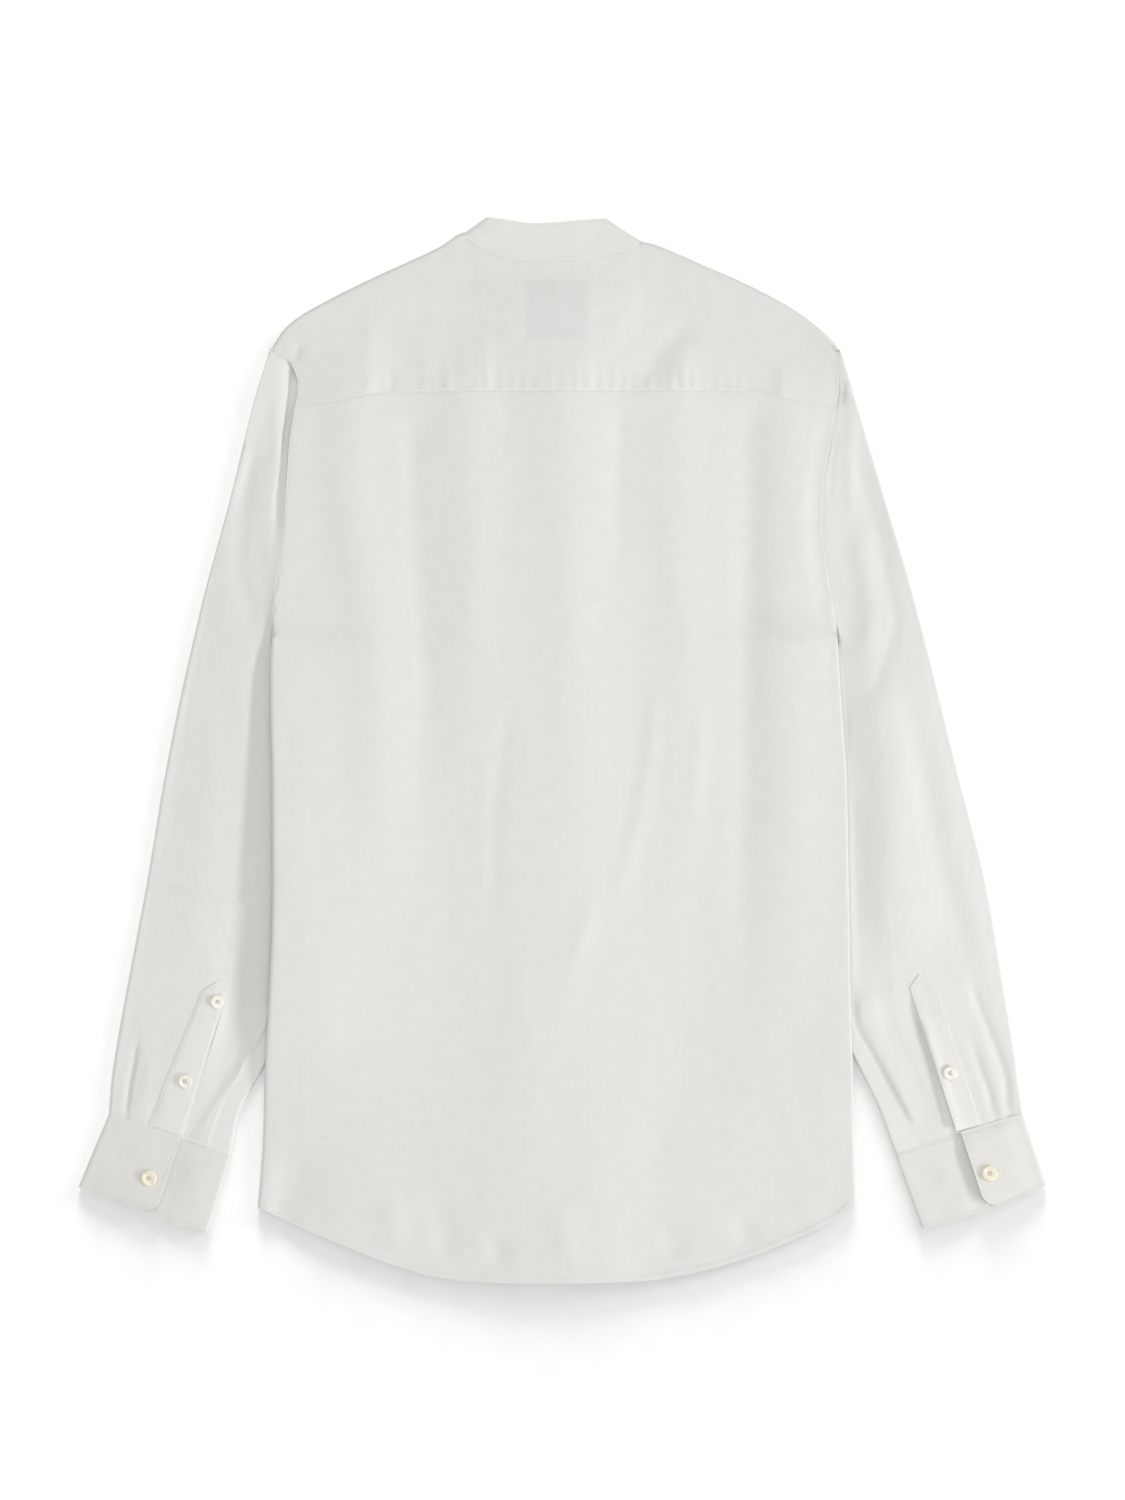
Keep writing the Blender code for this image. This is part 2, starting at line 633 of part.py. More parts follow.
def build_back():
    rows = []
    seam_left_y = BACK_ROWS[0].y
    seam_right_y = YOKE_SEAM[-1].y
    hem_left_y = BACK_ROWS[-1].y
    hem_right_y = HEM[-1].y
    first_left = (left_edge(seam_left_y - SEAM / 2), seam_left_y - SEAM / 2)
    first_right = (right_edge(seam_right_y - SEAM / 2), seam_right_y - SEAM / 2)
    _, first_slack = wrap_distances(BACK_ROWS[0].wrap, first_left[0], SIDE_SEAM_LEFT)
    for row in BACK_ROWS:
        share = (seam_left_y - row.y) / (seam_left_y - hem_left_y)
        left_y = row.y - SEAM / 2
        right_y = blend(seam_right_y, hem_right_y, share) - SEAM / 2
        left_x = left_edge(left_y)
        right_x = right_edge(right_y)
        left, slack = back_side(row.wrap, left_x, left_y, SIDE_SEAM_LEFT, 1, share, first_left)
        line = left[::-1]
        start_x = left_x + ROLL + slack
        end_x = right_x - ROLL - slack
        for column in range(1, BACK_TOP_COLUMNS + 1):
            part = column / (BACK_TOP_COLUMNS + 1)
            x = blend(start_x, end_x, part)
            seam_x = blend(first_left[0] + ROLL + first_slack, first_right[0] - ROLL - first_slack, part)
            hem_x = blend(HEM[0].x, HEM[-1].x, part)
            y = blend(yoke_edge(seam_x) - BACK_DROP, hem(hem_x) - SEAM / 2, share)
            line.append((x, y, body_top(x, y)))
        right, _ = back_side(row.wrap, right_x, right_y, SIDE_SEAM_RIGHT, -1, share, first_right)
        rows.append(line + right)
    return cloth("back", rows)


def build_yoke():
    half_turn = math.pi * ROLL
    rows = [[] for _ in range(YOKE_ROWS + 6)]
    first_x = YOKE_COLUMNS[0].x
    last_x = YOKE_COLUMNS[-1].x
    for column in YOKE_COLUMNS:
        part = (column.x - first_x) / (last_x - first_x)
        seam_x = blend(left_edge(YOKE_SEAM[0].y) + EDGE_INSET, right_edge(YOKE_SEAM[-1].y) - EDGE_INSET, part)
        seam_y = yoke_seam(seam_x) + SEAM / 2
        fold_y = shoulder(column.x)
        skew = 0.62 * (1.0 - ease(min(column.x - first_x, last_x - column.x) / 14.0))
        skew = skew if column.x < CENTRE else -skew
        wrap = column.wrap * (half_turn + SHOULDER_TURN)
        slack = NECK_SLACK if column.wrap == 0.0 else 0.0
        end_y = column.neck_y if column.neck_y else fold_y - ROLL
        for r in range(YOKE_ROWS):
            share = r / YOKE_ROWS
            x, y = yoke_place(part, seam_x, seam_y, column.x, end_y - slack, share)
            rows[r].append((x, y, body_top(x, y) - armhole_drop(x, y, share)))
        steps = [half_turn * k / 4 for k in range(5)] + [half_turn + SHOULDER_TURN]
        for r, step in enumerate(steps):
            if column.wrap == 0.0:
                y = end_y - slack + slack * step / steps[-1]
                rows[YOKE_ROWS + r].append((column.x, y, body_top(column.x, y)))
                continue
            distance = step / steps[-1] * wrap if column.wrap < 1.0 else step
            if distance <= half_turn:
                angle = distance / ROLL
                reach = ROLL * (1.0 - math.sin(angle))
                z = ROLL + ROLL * math.cos(angle)
            else:
                reach = ROLL + distance - half_turn
                z = 0.0
            rows[YOKE_ROWS + r].append((column.x + skew * reach, fold_y - reach, z))
    rows.reverse()
    return cloth("yoke", rows)


def yoke_place(part, seam_x, seam_y, end_x, end_y, share):
    """A point of the yoke between its seam and its upper edge, its ends on the armhole seams."""
    y = blend(seam_y, end_y, share)
    side_y = blend(YOKE_SEAM[0].y, TOP_Y, share)
    on_edges = blend(left_edge(side_y) + EDGE_INSET, right_edge(side_y) - EDGE_INSET, part)
    straight = blend(seam_x, end_x, share)
    hold = 1.0 - ease(min(part, 1.0 - part) / 0.12)
    return blend(straight, on_edges, hold), y


def armhole_drop(x, y, share):
    """How far the cloth has rolled down into the armhole seam."""
    side_y = min(y, TOP_Y)
    inside = min(x - left_edge(side_y), right_edge(side_y) - x)
    if inside >= ROLL:
        return 0.0
    inside = max(inside, EDGE_INSET)
    return (ROLL - math.sqrt(ROLL ** 2 - (ROLL - inside) ** 2)) * (1.0 - share * share)


def front_columns(side):
    """Places of a front's columns at the underarm."""
    seam_x = SIDE_SEAM_LEFT if side < 0 else SIDE_SEAM_RIGHT
    places = [seam_x - side * distance for distance in SEAM_COLUMNS]
    places += [CENTRE + side * distance for distance in CENTRE_COLUMNS]
    places[0] -= side * SEAM
    return places


def front_hem(x, side):
    seam_x = SIDE_SEAM_LEFT if side < 0 else SIDE_SEAM_RIGHT
    share = min(1.0, (seam_x - x) / (seam_x - CENTRE))
    return blend(FRONT_HEM_SIDE, FRONT_HEM_CENTRE, 1.0 - (1.0 - share) ** 2.3)


def build_front(name, side, top, stack_level):
    """One front: side is -1 for the left-hand one, and its rows run from the shoulder down to the hem."""
    columns = front_columns(side)
    armhole = armhole_left if side < 0 else armhole_right
    rows = []
    for r in range(FRONT_UPPER_ROWS):
        share = r / FRONT_UPPER_ROWS
        line = []
        for c, corner in enumerate(top):
            x = blend(corner.x, columns[c], share)
            y = blend(corner.y, UNDERARM_Y, share)
            if c < 4:
                edge_y = blend(top[0].y, UNDERARM_Y, share)
                straight = blend(top[0].x, columns[0], share)
                x += (armhole(edge_y) - side * SEAM - straight) * (1.0 - c / 4) ** 2
            line.append((x, y, front_level(x, y, stack_level)))
        rows.append(line)
    for r in range(FRONT_LOWER_ROWS + 1):
        share = r / FRONT_LOWER_ROWS
        line = []
        for x in columns:
            y = blend(UNDERARM_Y, front_hem(x, side), share)
            line.append((x, y, front_level(x, y, stack_level)))
        rows.append(line)
    return cloth(name, rows, flip=side < 0)


def build_front_placket():
    rows = []
    for share in (0.0, 0.2, 0.4, 0.6, 0.8, 1.0):
        line = []
        for x in (CENTRE - LAP + STRIP_INSET, CENTRE, CENTRE + LAP - STRIP_INSET):
            y = blend(STRIP_TOP_Y, front_hem(x, -1) + 2 * STRIP_INSET, share)
            line.append((x, y, front_level(x, y, LEFT_FRONT_LEVEL) - SEAM - WALL))
        rows.append(line)
    return cloth("front_placket", rows, flip=True)


def sleeve_curves(arm):
    columns = Section._fields[1:]
    return {column: Curve(arm.sections, "t", column) for column in columns}


def seam_bow(arm, t, q):
    """How far the top layer bends towards the armhole seam along a ring, and the y of that seam."""
    first = arm.sections[0]
    y = blend(first.outer_y, first.crease_y, q)
    line_x = blend(first.outer_x, first.crease_x, q)
    edge = left_edge if arm.mirror < 0 else right_edge
    fade = max(0.0, 1.0 - t / 0.3) ** 2
    outside = arm.mirror * ARMHOLE_GAP
    return (edge(y) + outside - line_x) * fade * min(1.0, 12.0 * q, 12.0 * (1.0 - q)), y


def armhole_bow(arm, t, share):
    """How far the bottom layer bends towards the front armhole, from the underarm to the shoulder."""
    first = arm.sections[0]
    y = blend(first.inner_y, first.outer_y - 2.0, share)
    line_x = blend(first.inner_x, first.outer_x - arm.mirror * 2.0, share)
    armhole = armhole_left if arm.mirror < 0 else armhole_right
    bow = armhole(y) + arm.mirror * FRONT_ARMHOLE_GAP - line_x
    return bow * max(0.0, 1.0 - t / 0.3) * min(1.0, 6.0 * share, 6.0 * (1.0 - share))


def trough_depth(arm, t, q, width):
    total = 0.0
    for trough in arm.troughs:
        along = (t - trough.t0) / (trough.t1 - trough.t0)
        middle = blend(trough.q0, trough.q1, along)
        offset = (q - middle) * width / trough.half_width
        fade = ease((along + 0.25) / 0.25) * (1.0 if trough.t1 >= 1.0 else ease((1.25 - along) / 0.25))
        total += trough.depth * math.exp(-offset * offset) * fade
    return total


def sleeve_top(arm, curves, t, q):
    """A point of the sleeve's top layer on the ring at t; q runs from the outer fold to the crease."""
    outer = (curves["outer_x"](t), curves["outer_y"](t))
    crease = (curves["crease_x"](t), curves["crease_y"](t))
    width = math.dist(outer, crease)
    radius = outer_radius(t)
    share = blend(radius / width, 1.0, q)
    x, y = blend_point(outer, crease, share)
    bow, seam_y = seam_bow(arm, t, q)
    relaxed = blend(2 * radius, SLEEVE_FLAT + 0.1, q) + SLEEVE_CREST * math.sin(math.pi * q) ** 0.9
    relaxed -= trough_depth(arm, t, q, width)
    at_cuff = CUFF_TOP if q <= arm.placket_edge else CUFF_UNDER
    step = ease((t - PLACKET_START) / (1.0 - PLACKET_START))
    if q > arm.placket_edge:
        relaxed -= PLACKET_DROP * ease((t - PLACKET_START) / 0.05) * (1.0 - step)
    relaxed = blend(relaxed, at_cuff, step ** 2)
    sewn = edge_height(seam_y) - ROLL * (1.0 - math.cos(SEAM_ROLL / ROLL))
    sewn = blend(2 * ROLL, sewn, ease(q / 0.12))
    sewn = blend(sewn, SLEEVE_FLAT + 0.1, ease((q - 0.86) / 0.14))
    near = max(0.0, 1.0 - t / 0.2) ** 2
    return x + bow, y, blend(relaxed, sewn, near)


def outer_radius(t):
    """Radius of the sleeve's outer fold: the shoulder's at the top, the cuff's at the end."""
    return blend(blend(ROLL, 2.1, ease(t / 0.15)), CUFF_TOP / 2, ease((t - 0.7) / 0.3))


def inner_height(t):
    return blend(SLEEVE_FLAT, CUFF_UNDER, ease((t - 0.7) / 0.3))


def sleeve_ring(arm, curves, t):
    outer = Vector((curves["outer_x"](t), curves["outer_y"](t)))
    crease = Vector((curves["crease_x"](t), curves["crease_y"](t)))
    inner = Vector((curves["inner_x"](t), curves["inner_y"](t)))
    ring = [sleeve_top(arm, curves, t, q) for q in arm.columns]
    inner_radius = inner_height(t) / 2
    inward = (inner - crease).normalized()
    inner_centre = inner - inward * inner_radius
    for share in HIDDEN_STATIONS + [1.0]:
        place = crease.lerp(inner_centre, share)
        ring.append((place.x, place.y, 2 * inner_radius))
    for angle in (45, 90, 135):
        turn = math.radians(angle)
        place = inner_centre + inward * inner_radius * math.sin(turn)
        ring.append((place.x, place.y, inner_radius + inner_radius * math.cos(turn)))
    radius = outer_radius(t)
    steep = max(0.0, 1.0 - t / 0.12)
    outward = -(crease - outer).normalized().lerp(Vector((-0.70 * arm.mirror, -0.71)), steep).normalized()
    outer_centre = outer - outward * radius
    for k in range(BOTTOM_COLUMNS + 1):
        share = k / BOTTOM_COLUMNS
        place = inner_centre.lerp(outer_centre, share)
        ring.append((place.x + armhole_bow(arm, t, share), place.y, 0.0))
    for angle in (135, 90, 45):
        turn = math.radians(angle)
        place = outer_centre + outward * radius * math.sin(turn)
        ring.append((place.x, place.y, radius + radius * math.cos(turn)))
    return ring


def build_sleeve(arm):
    curves = sleeve_curves(arm)
    rings = [sleeve_ring(arm, curves, t) for t in RING_STATIONS]
    return cloth("sleeve_" + arm.name, rings, closed=True, flip=arm.mirror > 0)


def build_sleeve_placket(arm):
    """A strip on the sleeve's top, from its points moved out, with a pointed end."""
    curves = sleeve_curves(arm)
    rows = []
    stations = [t for t in RING_STATIONS if t > PLACKET_START]
    stations[-1] = 0.996
    for t in [PLACKET_START] + stations:
        outer = (curves["outer_x"](t), curves["outer_y"](t))
        crease = (curves["crease_x"](t), curves["crease_y"](t))
        width = arm.placket_width / math.dist(outer, crease)
        line = []
        for share in (0.0, 0.25, 0.5, 0.75, 1.0):
            point = PLACKET_POINT * (1.0 - abs(2 * share - 1)) if t == PLACKET_START else 0.0
            q = arm.placket_edge - PLACKET_INSET - width * (1.0 - share)
            x, y, z = sleeve_top(arm, curves, t - point, q)
            line.append((x, y, z + LIE + WALL))
        rows.append(line)
    return cloth("sleeve_placket_" + arm.name, rows, flip=arm.mirror > 0)


def build_cuff(arm):
    """A flat band: lapped end on top, round the outer fold, underneath, round the inner fold, lower end."""
    corners = arm.corners
    width = math.dist(corners.seam_outer, corners.seam_inner)
    lap = arm.lap * width
    outer_r = CUFF_TOP / 2
    inner_r = CUFF_UNDER / 2
    rows = []
    for row in CUFF_ROWS:
        end = lap - row.rounding
        path = [(end * share + outer_r * (1 - share), CUFF_TOP) for share in (1.0, 0.7, 0.35, 0.0)]
        for angle in (45, 90, 135):
            turn = math.radians(angle)
            path.append((outer_r - outer_r * math.sin(turn), outer_r + outer_r * math.cos(turn)))
        path += [(blend(outer_r, width - inner_r, share), 0.0) for share in (0.0, 0.33, 0.67, 1.0)]
        for angle in (135, 90, 45):
            turn = math.radians(angle)
            path.append((width - inner_r + inner_r * math.sin(turn), inner_r + inner_r * math.cos(turn)))
        under_end = lap - CUFF_OVERLAP
        path += [(blend(width - inner_r, under_end, share), CUFF_UNDER) for share in (0.0, 0.35, 0.7, 1.0)]
        line = []
        for along, z in path:
            seam = blend_point(corners.seam_outer, corners.seam_inner, along / width)
            end_line = blend_point(corners.end_outer, corners.end_inner, along / width)
            x, y = blend_point(seam, end_line, row.down)
            line.append((x, y, z))
        rows.append(line)
    return cloth("cuff_" + arm.name, rows, wall=CUFF_WALL, flip=arm.mirror < 0)


def build_collar_band():
    rows = []
    for r, section in enumerate(BAND):
        on_left_end = r < len(BAND) / 2
        level = LEFT_FRONT_LEVEL if on_left_end else RIGHT_FRONT_LEVEL
        line = []
        for share in (0.0, 0.5, 1.0):
            x = blend(section.low_x, section.top_x, share)
            y = blend(section.low_y, section.top_y, share)
            if section.turn == 180:
                z = front_level(x, y, level)
            elif section.turn == 0:
                z = blend(body_top(section.low_x, section.low_y), BAND_FREE_LEVEL, share)
            else:
                turn = math.radians(section.turn)
                z = ROLL + ROLL * math.cos(turn)
                z *= blend(1.0, BAND_FREE_LEVEL / (2 * ROLL), share)
            line.append((x, y, z))
        rows.append(line)
    return cloth("collar_band", rows)


def build_label():
    """A blank label inside the yoke."""
    rows = []
    for y in (LABEL_Y[1], blend(LABEL_Y[0], LABEL_Y[1], 0.5), LABEL_Y[0]):
        line = []
        for share in (0.0, 0.33, 0.67, 1.0):
            x = blend(LABEL_X[0], LABEL_X[1], share)
            line.append((x, y, body_top(x, y) - WALL - LIE))
        rows.append(line)
    return cloth("neck_label", rows, wall=1.0, colour=LABEL_CLOTH)


def height_on(piece, x, y, reach):
    """Highest point of a piece's upper face under a small disc at x, y."""
    evaluated = piece.evaluated_get(bpy.context.evaluated_depsgraph_get())
    tree = BVHTree.FromPolygons([v.co.copy() for v in evaluated.data.vertices],
                                [tuple(p.vertices) for p in evaluated.data.polygons])
    heights = []
    for step_x, step_y in ((0, 0), (reach, 0), (-reach, 0), (0, reach), (0, -reach)):
        start = Vector((x + step_x, y + step_y, 50.0)) * METRE
        hit = tree.ray_cast(start, Vector((0, 0, -1)))[0]
        if hit:
            heights.append(hit.z / METRE)
    return max(heights)


def build_button(name, diameter, x, y, z):
    """A flat disc button with broken edges, its lower face at z."""
    bpy.ops.mesh.primitive_cylinder_add(vertices=16, radius=diameter / 2 * METRE, depth=BUTTON_THICK * METRE,
                                        location=Vector((x, y, z + BUTTON_THICK / 2)) * METRE)
    button = bpy.context.object
    button.name = name
    button.data.name = name
    button.data.materials.append(material(name, SHELL_BUTTON, 0.35))
    rim = button.modifiers.new("Rim", "BEVEL")
    rim.width = 0.45 * METRE
    rim.segments = 1
    for collection in list(button.users_collection):
        collection.objects.unlink(button)
    shirt.objects.link(button)
    return button


def build_sleeve_buttons(arm, placket, cuff):
    """Buttons of one sleeve, the placket's first and then the cuff's."""
    curves = sleeve_curves(arm)
    for count, t in enumerate(arm.placket_buttons, 1):
        outer = (curves["outer_x"](t), curves["outer_y"](t))
        crease = (curves["crease_x"](t), curves["crease_y"](t))
        half_width = arm.placket_width / 2 / math.dist(outer, crease)
        x, y, _ = sleeve_top(arm, curves, t, arm.placket_edge - PLACKET_INSET - half_width)
        z = height_on(placket, x, y, PLACKET_BUTTON / 2) + SEAM
        name = "placket_button_" + arm.name
        if len(arm.placket_buttons) > 1:
            name += "_" + str(count)
        build_button(name, PLACKET_BUTTON, x, y, z)
    corners = arm.corners
    width = math.dist(corners.seam_outer, corners.seam_inner)
    share = arm.lap - arm.cuff_button_inset / width
    seam = blend_point(corners.seam_outer, corners.seam_inner, share)
    end = blend_point(corners.end_outer, corners.end_inner, share)
    x, y = blend_point(seam, end, CUFF_BUTTON_DOWN)
    build_button("cuff_button_" + arm.name, CUFF_BUTTON, x, y, height_on(cuff, x, y, CUFF_BUTTON / 2) + SEAM)


def build_front_buttons():
    for count in range(FRONT_BUTTONS):
        y = FIRST_BUTTON_Y - count * BUTTON_STEP
        build_button("front_button_" + str(count + 1), BODY_BUTTON, CENTRE, y, BUTTON_FLOOR)
    band_z = LEFT_FRONT_LEVEL - SEAM - BUTTON_THICK
    build_button("collar_button", BODY_BUTTON, CENTRE, COLLAR_BUTTON_Y, band_z)


for leftover in list(bpy.data.objects):
    bpy.data.objects.remove(leftover, do_unlink=True)
shirt = bpy.data.collections.new("mandarin_collar_shirt")
bpy.context.scene.collection.children.link(shirt)

build_back()
build_yoke()
build_label()
build_front("front_left", -1, FRONT_TOP_LEFT, LEFT_FRONT_LEVEL)
build_front("front_right", 1, FRONT_TOP_RIGHT, RIGHT_FRONT_LEVEL)
build_front_placket()
build_front_buttons()
build_collar_band()
for each_arm in (LEFT_ARM, RIGHT_ARM):
    build_sleeve(each_arm)
    arm_placket = build_sleeve_placket(each_arm)
    arm_cuff = build_cuff(each_arm)
    build_sleeve_buttons(each_arm, arm_placket, arm_cuff)
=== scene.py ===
# Mandarin collar shirt in white linen, laid flat on its front with the back upwards.
# +Y runs from the hem to the collar and +Z up from the floor; tables are in millimetres, meshes in metres.
import bpy
import bmesh
import math
import numpy as np
from collections import namedtuple
from mathutils import Matrix, Vector
from mathutils.bvhtree import BVHTree


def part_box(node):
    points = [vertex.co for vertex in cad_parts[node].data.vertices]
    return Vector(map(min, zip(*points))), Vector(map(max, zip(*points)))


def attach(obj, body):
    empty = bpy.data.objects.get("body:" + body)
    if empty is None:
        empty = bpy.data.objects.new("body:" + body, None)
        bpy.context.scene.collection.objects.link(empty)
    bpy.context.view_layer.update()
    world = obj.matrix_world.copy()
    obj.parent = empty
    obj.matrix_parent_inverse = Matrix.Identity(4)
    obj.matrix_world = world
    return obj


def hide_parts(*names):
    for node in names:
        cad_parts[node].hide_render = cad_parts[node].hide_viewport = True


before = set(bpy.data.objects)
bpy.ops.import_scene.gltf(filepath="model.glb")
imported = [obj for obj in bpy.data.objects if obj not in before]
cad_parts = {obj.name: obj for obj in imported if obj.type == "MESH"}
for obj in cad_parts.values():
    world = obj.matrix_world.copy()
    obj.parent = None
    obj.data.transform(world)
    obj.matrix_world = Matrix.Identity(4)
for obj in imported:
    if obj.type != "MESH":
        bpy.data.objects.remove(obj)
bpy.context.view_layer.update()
metre = 0.001
print("frame loaded:", len(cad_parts), "nodes")


# Small helpers

def blend(a, b, share):
    return a + (b - a) * share


def ease(value):
    value = np.clip(value, 0.0, 1.0)
    return value * value * (3.0 - 2.0 * value)


def curveThrough(pairs):
    # smooth curve without overshoot through pairs of place and value
    keys, values = np.array(sorted(pairs), dtype=float).T
    slopes = np.diff(values) / np.diff(keys)
    before, after = slopes[:-1], slopes[1:]
    sameWay = before * after > 0
    middle = np.where(sameWay, 2 * before * after / np.where(sameWay, before + after, 1.0), 0.0)
    tangents = np.concatenate([slopes[:1], middle, slopes[-1:]])

    def along(at):
        at = np.clip(at, keys[0], keys[-1])
        i = np.clip(np.searchsorted(keys, at) - 1, 0, len(keys) - 2)
        span = keys[i + 1] - keys[i]
        s = (at - keys[i]) / span
        start = (1 + 2 * s) * (1 - s) ** 2 * values[i] + s * (1 - s) ** 2 * span * tangents[i]
        end = s * s * (3 - 2 * s) * values[i + 1] - s * s * (1 - s) * span * tangents[i + 1]
        return start + end

    return along


def smoothThrough(rows, steps):
    # rows of points or numbers with smooth in-between rows added, as many as steps to each gap
    rows = np.array(rows, dtype=float)
    padded = np.concatenate([2 * rows[:1] - rows[1:2], rows, 2 * rows[-1:] - rows[-2:-1]])
    out = []
    for i in range(len(rows) - 1):
        a, b, c, d = padded[i:i + 4]
        for s in np.arange(steps) / steps:
            out.append(0.5 * (2 * b + (c - a) * s + (2 * a - 5 * b + 4 * c - d) * s ** 2
                              + (3 * b - a - 3 * c + d) * s ** 3))
    return np.array(out + [rows[-1]])


# A crease is a soft ridge, or a trough where its height is negative. Its path runs from top to bottom with
# west and east as the widths of its two sides, and it fades in over start and out over end.
Crease = namedtuple("Crease", "height west east start end path")


def creaseHeight(x, y, creases):
    x, y = np.broadcast_arrays(np.asarray(x, dtype=float), np.asarray(y, dtype=float))
    total = np.zeros(x.shape)
    for crease in creases:
        path = smoothThrough(crease.path, 6)
        reach = 3 * max(crease.west, crease.east)
        low, high = path.min(axis=0) - reach, path.max(axis=0) + reach
        close = (x > low[0]) & (x < high[0]) & (y > low[1]) & (y < high[1])
        if not close.any():
            continue
        px, py = x[close], y[close]
        nearest = np.full(px.shape, 1e9)
        side = np.zeros(px.shape)
        along = np.zeros(px.shape)
        walked = 0.0
        for a, b in zip(path[:-1], path[1:]):
            step = b - a
            length = math.hypot(*step)
            share = np.clip(((px - a[0]) * step[0] + (py - a[1]) * step[1]) / length ** 2, 0, 1)
            dx, dy = px - a[0] - share * step[0], py - a[1] - share * step[1]
            distance = np.hypot(dx, dy)
            closer = distance < nearest
            nearest = np.where(closer, distance, nearest)
            side = np.where(closer, step[0] * dy - step[1] * dx, side)
            along = np.where(closer, walked + share * length, along)
            walked += length
        width = np.where(side > 0, crease.east, crease.west)
        fade = ease(along / crease.start) if crease.start else 1.0
        fade = fade * (ease((walked - along) / crease.end) if crease.end else 1.0)
        total[close] += crease.height * fade * np.exp(-(nearest / width) ** 2)
    return total


def restless(x, y, height, seed):
    # faint uneven lie of the cloth, longer down the garment than across it
    waves = np.random.default_rng(seed)
    total = np.zeros(np.broadcast(x, y).shape)
    for _ in range(26):
        across = waves.uniform(22, 110)
        down = across * waves.uniform(2.5, 8.0) * waves.choice((-1, 1))
        total = total + across / 110 * np.sin(2 * math.pi * (x / across + y / down) + waves.uniform(0, 6.28))
    return total * height / 2.2


def addMesh(name, points, faces, uvs):
    mesh = bpy.data.meshes.new(name)
    mesh.from_pydata((np.asarray(points) * metre).tolist(), [], faces)
    layer = mesh.uv_layers.new(name="weave")
    corners = np.empty(len(mesh.loops), dtype=np.int32)
    mesh.loops.foreach_get("vertex_index", corners)
    layer.data.foreach_set("uv", (uvs[corners] * metre).ravel())
    mesh.shade_smooth()
    piece = bpy.data.objects.new(name, mesh)
    bpy.context.scene.collection.objects.link(piece)
    return piece


def finished(piece, material):
    # the evaluated mesh in place of the modifiers
    mesh = bpy.data.meshes.new_from_object(piece.evaluated_get(bpy.context.evaluated_depsgraph_get()))
    piece.modifiers.clear()
    piece.data = mesh
    piece.data.materials.clear()
    piece.data.materials.append(material)
    return piece


def clothPiece(name, grid, material, wall, closed=False, flip=False):
    # a thin shell whose outer face passes through a grid of points; the weave runs along the grid
    rows, across = grid.shape[:2]
    stepAcross = np.linalg.norm(np.diff(grid, axis=1), axis=2)
    stepDown = np.linalg.norm(np.diff(grid, axis=0), axis=2)
    u = np.concatenate([np.zeros((rows, 1)), np.cumsum(stepAcross, axis=1)], axis=1)
    u -= u[:, across // 2:across // 2 + 1]
    v = -np.concatenate([np.zeros((1, across)), np.cumsum(stepDown, axis=0)])
    uvs = np.stack([u, v], axis=2).reshape(-1, 2)
    index = np.arange(rows * across).reshape(rows, across)
    after = np.roll(index, -1, axis=1) if closed else index[:, 1:]
    here = index if closed else index[:, :-1]
    faces = np.stack([here[:-1], here[1:], after[1:], after[:-1]], axis=2).reshape(-1, 4)
    if flip:
        faces = faces[:, ::-1]
    piece = addMesh(name, grid.reshape(-1, 3), faces.tolist(), uvs)
    thickness = piece.modifiers.new("Cloth wall", "SOLIDIFY")
    thickness.thickness = wall * metre
    thickness.offset = -1.0
    finished(piece, material)
    piece.data.set_sharp_from_angle(angle=math.radians(55))
    return piece


def stack(x, y, z):
    return np.stack(np.broadcast_arrays(x, y, z), axis=-1).astype(float)


def surfaceOf(piece):
    mesh = piece.data
    return BVHTree.FromPolygons([v.co for v in mesh.vertices], [p.vertices for p in mesh.polygons])


# Finishes

def linear(hexColour):
    values = [int(hexColour[i:i + 2], 16) / 255 for i in (1, 3, 5)]
    return tuple(v / 12.92 if v <= 0.04045 else ((v + 0.055) / 1.055) ** 2.4 for v in values) + (1.0,)


def addNode(tree, kind, inputs=None, **settings):
    node = tree.nodes.new(kind)
    for name, value in settings.items():
        setattr(node, name, value)
    for socket, value in (inputs or {}).items():
        if isinstance(value, bpy.types.NodeSocket):
            tree.links.new(value, node.inputs[socket])
        else:
            node.inputs[socket].default_value = value
    return node


def newMaterial(name):
    material = bpy.data.materials.new(name)
    material.use_nodes = True
    tree = material.node_tree
    return material, tree, tree.nodes["Principled BSDF"]


linenLook = {
    "light": "#e9e8e4",
    "deep": "#e3e2dd",
    "sleevePaintedLight": "#eeede9",  # painted lighter: this copy of the linen stands in for the extra light the sleeves, strips and band catch; they are also cut the other way of the cloth, and the strips and band are doubled
    "sleevePaintedDeep": "#e8e7e2",
    "threadPitch": 0.55,   # mm from thread to thread
    "threadRelief": 0.10,  # mm
    "slubRelief": 0.10,    # mm
    "roughness": 0.86,
}


